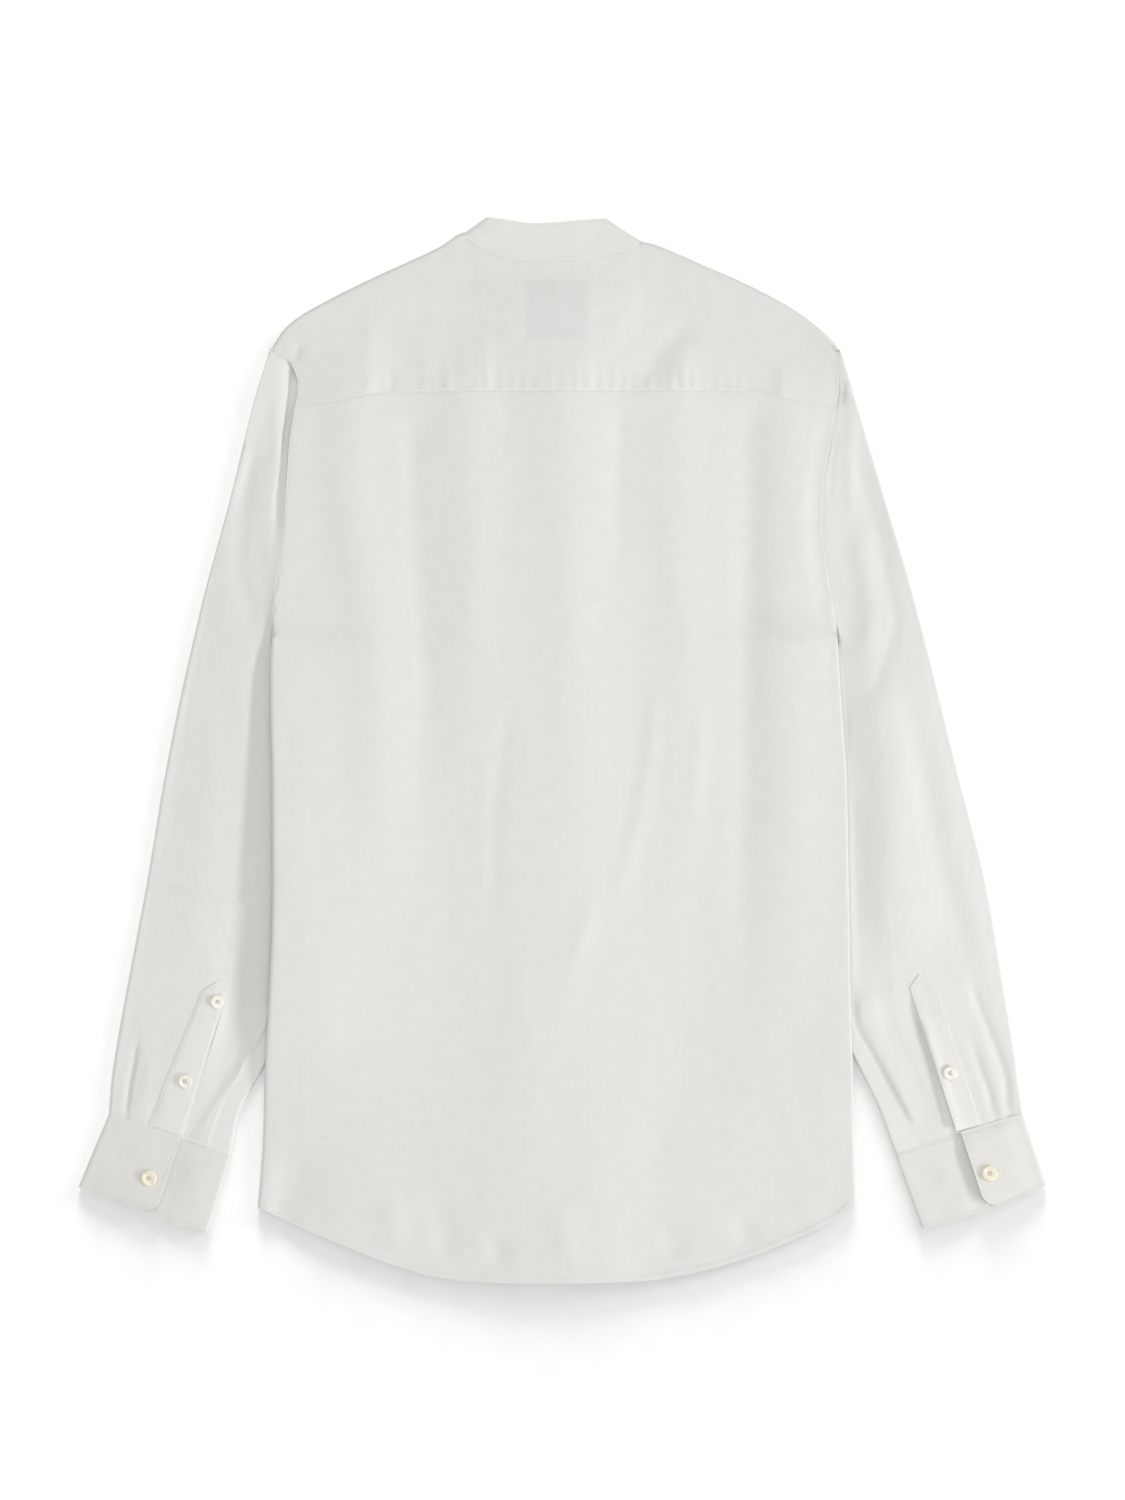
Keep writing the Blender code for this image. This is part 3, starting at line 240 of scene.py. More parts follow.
def linenMaterial(name, light, deep, labelBox=None):
    # bleached linen, plain weave, washed: matt, with uneven threads and slubs that run both ways
    material, tree, shader = newMaterial(name)
    look = linenLook
    uv = addNode(tree, "ShaderNodeUVMap", uv_map="weave").outputs[0]
    wander = addNode(tree, "ShaderNodeTexNoise", {"Vector": uv, "Scale": 120.0, "Detail": 1.0})
    moved = addNode(tree, "ShaderNodeVectorMath", {0: wander.outputs["Color"], 1: (0.0006, 0.0006, 0.0)},
                    operation="MULTIPLY").outputs[0]
    place = addNode(tree, "ShaderNodeVectorMath", {0: uv, 1: moved}, operation="ADD").outputs[0]
    turns = math.pi / (look["threadPitch"] * metre)
    phase = addNode(tree, "ShaderNodeVectorMath", {0: place, 1: (turns, turns, 0.0)},
                    operation="MULTIPLY").outputs[0]
    sine = addNode(tree, "ShaderNodeVectorMath", {0: phase}, operation="SINE").outputs[0]
    rounded = addNode(tree, "ShaderNodeSeparateXYZ",
                      {0: addNode(tree, "ShaderNodeVectorMath", {0: sine}, operation="ABSOLUTE").outputs[0]})
    crossing = addNode(tree, "ShaderNodeSeparateXYZ", {0: sine})
    over = addNode(tree, "ShaderNodeMath", {0: crossing.outputs[0], 1: crossing.outputs[1]},
                   operation="MULTIPLY").outputs[0]
    overShare = addNode(tree, "ShaderNodeMapRange", {"Value": over, "From Min": -0.25, "From Max": 0.25})
    weave = addNode(tree, "ShaderNodeMix", {"Factor": overShare.outputs[0], "A": rounded.outputs[1],
                                            "B": rounded.outputs[0]}, data_type="FLOAT").outputs[0]
    slubs = []
    for size in ((0.0026, 0.085, 1.0), (0.07, 0.0022, 1.0)):
        stretch = addNode(tree, "ShaderNodeVectorMath", {0: uv, 1: tuple(1 / s for s in size)},
                          operation="MULTIPLY").outputs[0]
        slubs.append(addNode(tree, "ShaderNodeTexNoise", {"Vector": stretch, "Scale": 1.0, "Detail": 3.0,
                                                          "Roughness": 0.62}).outputs[0])
    slub = addNode(tree, "ShaderNodeMix", {"Factor": 0.36, "A": slubs[0], "B": slubs[1]},
                   data_type="FLOAT").outputs[0]
    cloud = addNode(tree, "ShaderNodeTexNoise", {"Vector": uv, "Scale": 90.0, "Detail": 4.0}).outputs[0]
    tone = addNode(tree, "ShaderNodeMath", {0: slub, 1: cloud}, operation="ADD").outputs[0]
    toneShare = addNode(tree, "ShaderNodeMapRange", {"Value": tone, "From Min": 0.6,
                                                     "From Max": 1.4}).outputs[0]
    colour = addNode(tree, "ShaderNodeMix", {"Factor": toneShare, "A": linear(deep),
                                             "B": linear(light)}, data_type="RGBA").outputs["Result"]
    if labelBox:
        colour = shownThrough(tree, colour, labelBox)
    tree.links.new(colour, shader.inputs["Base Color"])
    shader.inputs["Roughness"].default_value = look["roughness"]
    shader.inputs["Specular IOR Level"].default_value = 0.25
    shader.inputs["Sheen Weight"].default_value = 0.08
    shader.inputs["Sheen Roughness"].default_value = 0.5
    coarse = addNode(tree, "ShaderNodeBump", {"Height": slub, "Distance": look["slubRelief"] * metre,
                                              "Strength": 1.0}).outputs[0]
    fine = addNode(tree, "ShaderNodeBump", {"Height": weave, "Distance": look["threadRelief"] * metre,
                                            "Strength": 1.0, "Normal": coarse}).outputs[0]
    tree.links.new(fine, shader.inputs["Normal"])
    return material


def shownThrough(tree, colour, box):
    # the label inside shows through the single layer of linen as a slightly darker patch
    place = addNode(tree, "ShaderNodeSeparateXYZ",
                    {0: addNode(tree, "ShaderNodeTexCoord").outputs["Object"]})
    inside = None
    for axis in (0, 1):
        low, high = box[axis]
        offset = addNode(tree, "ShaderNodeMath", {0: place.outputs[axis], 1: (low + high) / 2 * metre},
                         operation="SUBTRACT").outputs[0]
        distance = addNode(tree, "ShaderNodeMath", {0: offset}, operation="ABSOLUTE").outputs[0]
        half = (high - low) / 2 * metre
        share = addNode(tree, "ShaderNodeMapRange", {"Value": distance, "From Min": half - 0.003,
                                                     "From Max": half + 0.003, "To Min": 1.0, "To Max": 0.0},
                        interpolation_type="SMOOTHSTEP").outputs[0]
        inside = share if inside is None else addNode(tree, "ShaderNodeMath", {0: inside, 1: share},
                                                      operation="MULTIPLY").outputs[0]
    return addNode(tree, "ShaderNodeMix", {"Factor": inside, "A": colour, "B": (0.955, 0.96, 0.975, 1.0)},
                   data_type="RGBA", blend_type="MULTIPLY").outputs["Result"]


def threadMaterial():
    # spun polyester sewing thread, a little glossier than the cloth, with its twist as bump
    material, tree, shader = newMaterial("white sewing thread")
    place = addNode(tree, "ShaderNodeTexCoord").outputs["Object"]
    twist = addNode(tree, "ShaderNodeTexWave", {"Vector": place, "Scale": 900.0, "Distortion": 1.5},
                    bands_direction="DIAGONAL").outputs["Fac"]
    colour = addNode(tree, "ShaderNodeMix", {"Factor": twist, "A": linear("#e4e2da"), "B": linear("#f0eee8")},
                     data_type="RGBA").outputs["Result"]
    tree.links.new(colour, shader.inputs["Base Color"])
    shader.inputs["Roughness"].default_value = 0.6
    bump = addNode(tree, "ShaderNodeBump", {"Height": twist, "Distance": 0.00008, "Strength": 1.0}).outputs[0]
    tree.links.new(bump, shader.inputs["Normal"])
    return material


def buttonMaterial(name, deep, light):
    # polished cream shell-like resin: cloudy streaks under a clear gloss, a little rougher where the clouds
    # are lighter
    material, tree, shader = newMaterial(name)
    place = addNode(tree, "ShaderNodeTexCoord").outputs["Object"]
    cloud = addNode(tree, "ShaderNodeTexNoise", {"Vector": place, "Scale": 260.0, "Detail": 3.0,
                                                 "Distortion": 1.2}).outputs[0]
    streak = addNode(tree, "ShaderNodeTexWave", {"Vector": place, "Scale": 90.0, "Distortion": 5.0,
                                                 "Detail": 2.0}, bands_direction="DIAGONAL").outputs["Fac"]
    mixed = addNode(tree, "ShaderNodeMix", {"Factor": 0.4, "A": cloud, "B": streak},
                    data_type="FLOAT").outputs[0]
    share = addNode(tree, "ShaderNodeMapRange", {"Value": mixed, "From Min": 0.3, "From Max": 0.7}).outputs[0]
    colour = addNode(tree, "ShaderNodeMix", {"Factor": share, "A": linear(deep), "B": linear(light)},
                     data_type="RGBA").outputs["Result"]
    tree.links.new(colour, shader.inputs["Base Color"])
    rough = addNode(tree, "ShaderNodeMapRange", {"Value": cloud, "To Min": 0.24, "To Max": 0.42}).outputs[0]
    tree.links.new(rough, shader.inputs["Roughness"])
    shader.inputs["IOR"].default_value = 1.53
    bump = addNode(tree, "ShaderNodeBump", {"Height": cloud, "Distance": 0.00003, "Strength": 1.0}).outputs[0]
    tree.links.new(bump, shader.inputs["Normal"])
    return material


def labelMaterial():
    # woven satin ribbon: fine ribs across, a soft gloss along them
    material, tree, shader = newMaterial("grey satin label")
    uv = addNode(tree, "ShaderNodeUVMap", uv_map="weave").outputs[0]
    ribs = addNode(tree, "ShaderNodeTexWave", {"Vector": uv, "Scale": 620.0, "Distortion": 0.4},
                   bands_direction="Y").outputs["Fac"]
    cloud = addNode(tree, "ShaderNodeTexNoise", {"Vector": uv, "Scale": 300.0, "Detail": 3.0}).outputs[0]
    tone = addNode(tree, "ShaderNodeMath", {0: ribs, 1: cloud}, operation="ADD").outputs[0]
    share = addNode(tree, "ShaderNodeMapRange", {"Value": tone, "From Min": 0.5, "From Max": 1.5}).outputs[0]
    colour = addNode(tree, "ShaderNodeMix", {"Factor": share, "A": linear("#b4b6ba"), "B": linear("#c6c8cb")},
                     data_type="RGBA").outputs["Result"]
    tree.links.new(colour, shader.inputs["Base Color"])
    shader.inputs["Roughness"].default_value = 0.5
    bump = addNode(tree, "ShaderNodeBump", {"Height": ribs, "Distance": 0.00006, "Strength": 1.0}).outputs[0]
    tree.links.new(bump, shader.inputs["Normal"])
    return material


label = {
    "x": (-28.5, 18.5),
    "y": (311.0, 356.0),
    "wall": 0.5,
    "hem": 1.5,
}
linen = linenMaterial("white washed linen", linenLook["light"], linenLook["deep"])
linenOverLabel = linenMaterial("white washed linen over a label", linenLook["light"], linenLook["deep"],
                               (label["x"], label["y"]))
# the sleeves, their strips and the collar band use this copy of the linen, painted lighter to stand in for
# light
sleeveLinenPaintedLighter = linenMaterial("white washed linen, painted lighter for sleeves", linenLook["sleevePaintedLight"], linenLook["sleevePaintedDeep"])
thread = threadMaterial()
satin = labelMaterial()
print("finishes made")


# The body's own form, shared by the back, the yoke and the collar band
wall = 0.7             # cloth of the panels
solidWall = 1.1        # wall of the frame's solids, which sets how the layers lie on each other
seam = 0.3
lie = 0.4
roll = 2.9             # outer radius of the folds at the sides and the shoulders
halfTurn = math.pi * roll

body = {
    "centre": -5.0,
    "middleHeight": 5.6,
    "sideLiftReach": 130.0,
    "spineHalf": 18.0,
    "spineRamp": 67.0,
    "shoulderRamp": 45.0,
    "sideSeamLeft": -150.0,
    "sideSeamRight": 138.5,
    "underLift": 3.6,
    "folds": 1.75,
    "restless": 0.14,
}
# height along the body, left edge and right edge; above the underarm these are the armhole seams
sides = [
    (304.5, -221.0, 209.5), (294.5, -206.5, 210.2), (277.0, -201.0, 210.4), (259.5, -203.5, 208.0),
    (228.0, -208.0, 203.0), (197.0, -210.0, 198.0), (165.0, -212.0, 197.5), (135.0, -216.0, 201.5),
    (97.0, -220.0, 207.5), (59.5, -221.5, 210.0), (14.0, -221.0, 213.0), (-20.0, -220.0, 215.5),
    (-105.5, -219.5, 217.0), (-190.5, -222.5, 218.5), (-236.5, -225.5, 220.0), (-297.0, -227.5, 221.0),
    (-347.5, -231.5, 223.0),
]
leftEdge = curveThrough([(y, left) for y, left, _ in sides])
rightEdge = curveThrough([(y, right) for y, _, right in sides])
# top of the side folds, and the radius of their roll; the left one stands higher off its sleeve
edgeHeight = {
    -1: curveThrough([(305, 5.8), (200, 6.2), (112, 6.3), (86, 7.4), (62, 9.2), (0, 11.4), (-60, 12.8),
                      (-160, 13.6), (-205, 12.8), (-240, 9.8), (-305, 6.2), (-350, 5.8)]),
    1: curveThrough([(305, 5.8), (200, 6.2), (112, 6.8), (86, 9.4), (62, 9.4), (-240, 9.4), (-305, 6.2),
                     (-350, 5.8)]),
}
edgeRoll = {
    -1: curveThrough([(305, 0.6), (120, 0.6), (98, 1.4), (76, 2.9), (-300, 2.9)]),
    1: curveThrough([(305, 0.6), (130, 0.6), (108, 1.2), (88, 1.7), (-300, 1.7)]),
}
liftAlong = curveThrough([(88, 0), (64, 1), (-250, 1), (-305, 0)])
# how far the left sleeve sinks into the hollow beside the body's edge
hollowAlong = curveThrough([(86, 0), (48, 1), (-225, 1), (-262, 0.6), (-290, 0.35)])
spineRise = curveThrough([(405, 0.6), (375, 0.6), (330, 3.7), (300, 3.7), (272, 2.8), (-405, 2.8)])
hemLine = curveThrough([(-231.5, -347.5), (-209.5, -358.5), (-167.5, -376), (-132, -390), (-102, -398.5),
                        (-70.5, -403), (-24.5, -404.4), (56.5, -403), (95.5, -397.5), (137, -386.5),
                        (176.5, -371.5), (208.5, -355.5), (223, -342.5)])
yokeSeam = curveThrough([(-203, 261), (-189.5, 262.5), (-167.5, 265.5), (-148, 269.5), (-131, 271.5),
                         (-5, 272.5), (146.5, 272.5), (165.5, 267), (199.5, 260), (208, 259.5)])
shoulder = curveThrough([(-221, 305), (-211.5, 319), (-200.5, 328.5), (-175, 343), (-147, 357), (-93, 382),
                         (-74, 392.9), (62, 385.4), (89.3, 375.8), (104.5, 369), (132.5, 357), (172, 336.5),
                         (188, 325.5), (206.5, 309), (209.5, 305)])
shoulderTop = sides[0][0]

# Long soft folds that hang from the yoke's gathers, the dents above the hem and slighter ones between them
bodyCreases = [
    Crease(1.5, 22, 20, 60, 260, [(-160, 330), (-160, 266), (-158, 190), (-146, 98), (-138, -38),
                                  (-140, -200)]),
    Crease(1.6, 22, 20, 60, 260, [(-74, 330), (-73, 266), (-70, 144), (-72, 20), (-76, -120)]),
    Crease(1.5, 24, 22, 60, 300, [(2, 330), (2, 266), (6, 83), (4, -60), (6, -200)]),
    Crease(1.6, 24, 22, 60, 220, [(84, 330), (84, 266), (90, 98), (86, -60), (86, -170)]),
    Crease(1.4, 22, 22, 60, 260, [(172, 300), (172, 266), (172, 98), (172, -60), (176, -260)]),
    Crease(-0.8, 10, 12, 30, 200, [(-114, 266), (-112, 160), (-104, 40), (-108, -100)]),
    Crease(-1.0, 11, 12, 30, 260, [(140, 268), (141, 160), (139, 20), (137, -114), (140, -260)]),
    Crease(-0.6, 8, 9, 30, 120, [(44, 268), (42, 190), (40, 90)]),
    Crease(0.6, 6, 7, 40, 60, [(72, 60), (64, -20), (50, -80), (30, -130)]),
    Crease(0.5, 6, 7, 40, 60, [(30, -90), (12, -150), (-6, -205)]),
    Crease(0.5, 7, 7, 40, 60, [(108, 50), (102, -20), (96, -80)]),
    Crease(-0.5, 7, 7, 40, 60, [(-40, 40), (-52, -60), (-48, -150)]),
    Crease(-1.3, 16, 18, 26, 0, [(-196, -300), (-206, -330), (-216, -352)]),
    Crease(0.7, 10, 10, 20, 14, [(-132, -330), (-128, -360), (-126, -384)]),
    Crease(-0.8, 9, 11, 22, 12, [(-104, -330), (-92, -360), (-84, -386)]),
    Crease(-1.0, 8, 10, 18, 12, [(-60, -362), (-50, -380), (-46, -396)]),
    Crease(-0.4, 14, 14, 26, 20, [(78, -270), (72, -300), (70, -330)]),
    Crease(-0.8, 8, 10, 18, 12, [(72, -360), (84, -376), (94, -386)]),
    Crease(-1.0, 8, 9, 16, 12, [(132, -350), (138, -366), (140, -380)]),
    Crease(0.7, 10, 10, 16, 12, [(-6, -340), (0, -365), (4, -392)]),
]


def insideEdges(x, y):
    sideY = np.minimum(y, shoulderTop)
    return np.minimum(x - leftEdge(sideY), rightEdge(sideY) - x)


def bodyTop(x, y, creases=True):
    # top of the back and yoke, without the roll at their edges
    spine = 1.0 - ease((np.abs(x - body["centre"]) - body["spineHalf"]) / body["spineRamp"])
    height = body["middleHeight"] + spine * spineRise(y)
    inside = insideEdges(x, y)
    lift = 1.0 - ease(inside / body["sideLiftReach"])
    sideY = np.minimum(y, shoulderTop)
    edge = np.where(x < body["centre"], edgeHeight[-1](sideY), edgeHeight[1](sideY))
    height = height + (edge - body["middleHeight"]) * lift
    if creases:
        soft = body["folds"] * creaseHeight(x, y, bodyCreases) + restless(x, y, body["restless"], 3)
        height = height + soft * ease((inside - 3.0) / 14.0)
    fromFold = shoulder(x) - y - roll
    return blend(height, 2 * roll, 1.0 - ease(fromFold / body["shoulderRamp"]))


# Back panel: hangs from the yoke, turns under at both sides as far as the side seams
backPanel = {
    "topColumns": 134,
    "rollColumns": 8,
    "underColumns": 9,
    "squeeze": 18.0,
    "hemWidth": 5.6,
    "hemRelief": 0.45,
    "hemRise": 0.13,
    "tuck": 2.0,
    "hemStep": 1.4,
    "hemGroove": 0.28,
    "hemStitch": 1.2,
    "grooveHalf": 0.9,
    "tuckShare": 0.0026,
    "tuckDrop": 0.9,
    "squeezeStart": 3.0,
    "squeezeRamp": 12.0,
    "underRamp": 30.0,
}
# height along the body and length of cloth past the start of the side fold
sideWrap = curveThrough([(261, 0.3), (166, 0.3), (136, 0.6), (112, 3.0), (97, 6), (87, 10.5), (79, 22),
                         (71, 45), (62, 68), (54, 90)])
toSeamBelow = 54.0
wholeWrap = 999.0
# ends of the yoke's seam and corners of the hem, left and right
yokeSeamEnds = (261.0, 259.5)
hemEnds = ((-231.5, -347.5), (223.0, -342.5))


def turnedEdge(distance, edgeX, inward, top, radius, level):
    # a point of the side fold: distance runs from its start, round it and back under to the given level
    centreX = edgeX + inward * radius
    angle = np.clip(distance / radius, 0, math.pi)
    under = np.maximum(distance - math.pi * radius, 0)
    x = centreX - inward * radius * np.sin(angle) - inward * np.minimum(distance, 0) + inward * under
    z = top - radius + radius * np.cos(angle)
    return x, blend(z, level, ease(under / backPanel["underRamp"]))


def wrapDistances(wrap, edgeX, seamX, radius):
    rounding = math.pi * radius
    toSeam = rounding + np.abs(seamX - edgeX) - radius - seam / 2
    wrap = np.minimum(wrap, toSeam)
    turn = np.linspace(0, 1, backPanel["rollColumns"] + 1)
    under = np.linspace(0, 1, backPanel["underColumns"] + 1)[1:]
    flatPart = rounding[:, None] + (toSeam - rounding)[:, None] * under
    full = np.concatenate([rounding[:, None] * turn, flatPart], axis=1)
    slack = backPanel["squeeze"] * (1.0 - ease((wrap - backPanel["squeezeStart"])
                                               / backPanel["squeezeRamp"]))
    return -slack[:, None] + full / toSeam[:, None] * (wrap + slack)[:, None], slack


def hemFinish(y, lineY):
    # the narrow turned hem: a raised band with its stitch line pressed in
    pastHem = y - lineY - backPanel["hemWidth"]
    raised = backPanel["hemRelief"] * (1.0 - ease((pastHem + 0.8) / backPanel["hemStep"]))
    groove = np.exp(-((pastHem + backPanel["hemStitch"]) / backPanel["grooveHalf"]) ** 2)
    return raised - backPanel["hemGroove"] * groove


def tucked(shares):
    # the upper edge goes on beneath the yoke's: up by the tuck and down under its cloth
    near = (1.0 - ease(shares / backPanel["tuckShare"]))[:, None]
    return near * np.array([0.0, backPanel["tuck"], -backPanel["tuckDrop"]])


def makeBack():
    shares = np.concatenate([[0, 0.0006, 0.0012, 0.0018, 0.0026, 0.004, 0.0065, 0.01, 0.015],
                             np.linspace(0.02, 0.975, 214), np.linspace(0.975, 1.0, 18)[1:]])
    leftY = blend(yokeSeamEnds[0], hemEnds[0][1], shares) - seam / 2
    rightY = blend(yokeSeamEnds[1], hemEnds[1][1], shares) - seam / 2
    wrap = np.where(leftY > toSeamBelow, sideWrap(leftY), wholeWrap)
    parts = []
    for edgeX, y, inward, seamX in ((leftEdge(leftY), leftY, 1, body["sideSeamLeft"]),
                                    (rightEdge(rightY), rightY, -1, body["sideSeamRight"])):
        radius = edgeRoll[-inward](y)
        distances, slack = wrapDistances(wrap, edgeX, seamX, radius)
        level = (body["underLift"] * liftAlong(y))[:, None]
        top = edgeHeight[-inward](y)[:, None]
        x, z = turnedEdge(distances, edgeX[:, None], inward, top, radius[:, None], level)
        under = np.maximum(0.0, distances - math.pi * radius[:, None])
        followSeam = (yokeSeam(x[:1]) - y[0] - seam / 2) * (1.0 - shares)[:, None]
        placeY = y[:, None] + followSeam + under * backPanel["hemRise"] * ease((shares - 0.9) / 0.1)[:, None]
        z = np.where(distances <= 0, bodyTop(x, placeY), z)
        parts.append((stack(x, placeY, z) + tucked(shares)[:, None], slack + radius, edgeX))
    left, right = parts
    count = backPanel["topColumns"]
    part = np.arange(1, count + 1) / (count + 1)
    startX = (left[2] + left[1])[:, None]
    endX = (right[2] - right[1])[:, None]
    x = blend(startX, endX, part)
    hemX = blend(hemEnds[0][0], hemEnds[1][0], part)
    y = blend(yokeSeam(x[0]), hemLine(hemX), shares[:, None]) - seam / 2
    lineY = np.broadcast_to(hemLine(hemX), y.shape)
    z = bodyTop(x, y) + hemFinish(y, lineY)
    grid = np.concatenate([left[0][:, ::-1], stack(x, y, z) + tucked(shares)[:, None], right[0]], axis=1)
    return clothPiece("backPanel", grid, linen, wall)


# Yoke: from the shoulder folds down to its seam, gathered a little at the seam
yoke = {
    "columns": 176,
    "rows": 44,
    "turnRows": 28,
    "shoulderTurn": 12.0,
    "seamRelief": 0.3,
    "seamBand": 7.0,
    "puckerHeight": 1.4,
    "lip": 0.6,
    "ends": (-220.6, 209.1),
    "inset": 0.4,
    "skew": 0.62,
    "skewReach": 14.0,
    "holdShare": 0.12,
    "tuckReach": 1.5,
    "tuckRise": 1.6,
    "tuckDrop": 1.0,
    "seamGroove": 0.12,
    "grooveUp": 1.8,
    "grooveHalf": 0.8,
}
neckLine = curveThrough([(-78, 389.5), (-74, 389.2), (-70, 386.4), (-59, 379.2), (-40, 372.2), (-22, 371.6),
                         (-3, 371.6), (17, 371.8), (34, 375), (49.5, 380.2), (58, 383.2), (61, 384.4),
                         (64, 384.2)])
neckEnds = (-73.0, 60.0)
neckSlack = curveThrough([(-185, 0.0), (-115, 12.0), (100, 12.0), (170, 0.0)])
# puckers at the yoke's seam: place, height, half width and length
puckers = [
    (-130, -0.8, 2.2, 16), (-147, 0.5, 4.0, 22), (-104, 0.6, 2.4, 15), (-98, 0.5, 2.0, 12),
    (-87, 0.7, 3.0, 20), (-64, 0.5, 2.2, 12), (-57, 0.85, 3.4, 26), (-45, 0.5, 2.2, 12),
    (-37, 0.55, 2.2, 11), (-28, 0.5, 2.4, 12), (-18, 0.45, 2.2, 11), (-9, 0.5, 2.6, 13),
    (2, 0.45, 2.2, 10), (11, 0.65, 2.6, 13), (20, 0.75, 2.8, 17), (30, 0.6, 2.4, 14),
    (40, 0.7, 2.4, 15), (48, 0.65, 2.2, 13), (57, 0.4, 2.0, 10), (66, 0.65, 2.4, 12),
    (75, 0.55, 2.0, 11), (83, 0.8, 2.6, 15), (92, 0.85, 2.6, 17), (100, 0.7, 2.2, 13),
    (109, 0.5, 2.0, 10), (119, 0.6, 2.2, 12), (128, 0.45, 2.0, 11), (136, 0.55, 2.2, 13),
    (166, 0.5, 3.4, 20),
]
yokeCreases = [
    Crease(0.9, 9, 8, 24, 20, [(-147, 336), (-147, 300), (-147, 262)]),
    Crease(0.7, 10, 9, 24, 16, [(-104, 326), (-104, 300), (-104, 276)]),
    Crease(0.9, 9, 8, 24, 16, [(-64, 322), (-63, 300), (-62, 276)]),
    Crease(0.9, 10, 9, 26, 16, [(15, 314), (16, 295), (17, 276)]),
    Crease(0.8, 8, 8, 26, 16, [(41, 342), (42, 310), (44, 280)]),
    Crease(-1.1, 8, 11, 24, 12, [(104, 334), (86, 315), (70, 296), (62, 276)]),
    Crease(-0.7, 6, 8, 18, 12, [(46, 322), (42, 300), (38, 284)]),
    Crease(0.8, 10, 9, 26, 16, [(90, 318), (92, 300), (94, 276)]),
    Crease(0.8, 9, 8, 20, 14, [(124, 304), (124, 290), (125, 276)]),
    Crease(0.9, 9, 8, 18, 14, [(170, 300), (170, 280), (171, 262)]),
    Crease(-0.6, 4, 4, 10, 10, [(-56, 336), (-48, 326), (-42, 318)]),
    Crease(-0.5, 3, 4, 10, 10, [(-44, 334), (-38, 326), (-34, 318)]),
    Crease(-1.5, 2.2, 2.8, 8, 8, [(-200.5, 311), (-201.5, 300), (-202.5, 287), (-203, 278)]),
]


def yokeRelief(x, y):
    up = y - yokeSeam(x)
    total = yoke["seamRelief"] * (1.0 - ease((up - yoke["seamBand"]) / 5.0)) * ease(up / 2.0)
    total = total - yoke["seamGroove"] * np.exp(-((up - yoke["grooveUp"]) / yoke["grooveHalf"]) ** 2)
    for place, height, half, length in puckers:
        across = np.exp(-((x - place) / half) ** 2)
        total = total + yoke["puckerHeight"] * height * across * np.exp(-(up / length) ** 2) * ease(up / 2.5)
    return total + creaseHeight(x, y, yokeCreases)


def makeYoke():
    firstX, lastX = yoke["ends"]
    steps = [end + side for end in neckEnds for side in (-0.05, 0.05)]
    part = np.sort(np.concatenate([np.linspace(0, 1, yoke["columns"]),
                                   (np.array(steps) - firstX) / (lastX - firstX)]))
    x = blend(firstX, lastX, part)
    seamX = blend(leftEdge(yokeSeamEnds[0]) + yoke["inset"],
                  rightEdge(yokeSeamEnds[1]) - yoke["inset"], part)
    seamY = yokeSeam(seamX) + seam / 2
    share = np.where((x < neckEnds[0]) | (x > neckEnds[1]), 1.0, 0.0)
    endY = blend(neckLine(x), shoulder(x) - roll, share)
    slack = neckSlack(x)
    nearEnd = 1.0 - ease(np.minimum(x - firstX, lastX - x) / yoke["skewReach"])
    skew = yoke["skew"] * nearEnd * np.where(x < body["centre"], 1, -1)
    up = (np.concatenate([np.linspace(0, 0.08, 10), np.linspace(0.08, 1, yoke["rows"] - 8)[1:-1]]))[:, None]
    y = blend(seamY, endY - slack, up)
    sideY = blend(yokeSeamEnds[0], shoulderTop, up)
    onEdges = blend(leftEdge(sideY) + yoke["inset"], rightEdge(sideY) - yoke["inset"], part)
    hold = 1.0 - ease(np.minimum(part, 1 - part) / yoke["holdShare"])
    lowX = blend(blend(seamX, x, up), onEdges, hold)
    inside = np.maximum(insideEdges(lowX, y), 0.3)
    lip = yoke["lip"]
    drop = np.where(inside < lip, lip - np.sqrt(np.maximum(0, lip ** 2 - (lip - inside) ** 2)), 0)
    drop = drop * (1 - up ** 8)
    fade = ease((inside - 2.0) / 8.0) * ease((shoulder(lowX) - y - 6.0) / 18.0)
    low = stack(lowX, y, bodyTop(lowX, y) - drop + yokeRelief(lowX, y) * fade)
    walk = np.linspace(0, 1, yoke["turnRows"])[:, None] * (slack + share * (halfTurn + yoke["shoulderTurn"]))
    flat = walk < slack
    distance = np.maximum(walk - slack, 0)
    angle = np.clip(distance / roll, 0, math.pi)
    reach = np.where(distance <= halfTurn, roll * (1 - np.sin(angle)), roll + distance - halfTurn)
    reach = np.where(flat, 0, reach)
    topY = np.where(flat, endY - slack + walk, endY + roll - reach)
    turnZ = roll + roll * np.cos(angle)
    topZ = np.where(flat | (share == 0), bodyTop(np.broadcast_to(x, topY.shape), topY), turnZ)
    neckTuck = (1.0 - share) * ease((topY - endY + yoke["tuckReach"]) / yoke["tuckReach"])
    high = stack(x + skew * reach, topY + yoke["tuckRise"] * neckTuck, topZ - yoke["tuckDrop"] * neckTuck)
    grid = np.concatenate([low, high])[::-1]
    return clothPiece("yokePanel", grid, linenOverLabel, wall)


# Fronts: they lie on the floor and lap at centre front; seen only from beneath
front = {
    "leftLevel": 3.9,
    "rightLevel": 5.3,
    "lap": 16.0,
    "stripStitch": 14.2,
    "stackHalf": 17.0,
    "stackRamp": 33.0,
    "stripTop": 297.5,
    "underarm": 59.0,
    "hemSide": -338.0,
    "hemCentre": -401.0,
    "columns": 60,
    "upperRows": 44,
    "lowerRows": 92,
    "liftStart": 14.0,
    "liftRamp": 36.0,
    "hemBow": 2.3,
    "rowSpread": 0.92,
    "hemSink": 0.3,
    "stripGroove": 0.25,
    "grooveHalf": 0.8,
}
armholeLeft = curveThrough([(299, -213.5), (250, -196), (190, -186), (113, -173), (75, -157.5), (59, -150)])
armholeRight = curveThrough([(299, 203.5), (250, 184.5), (190, 175), (113, 161.5), (75, 146), (59, 138.5)])
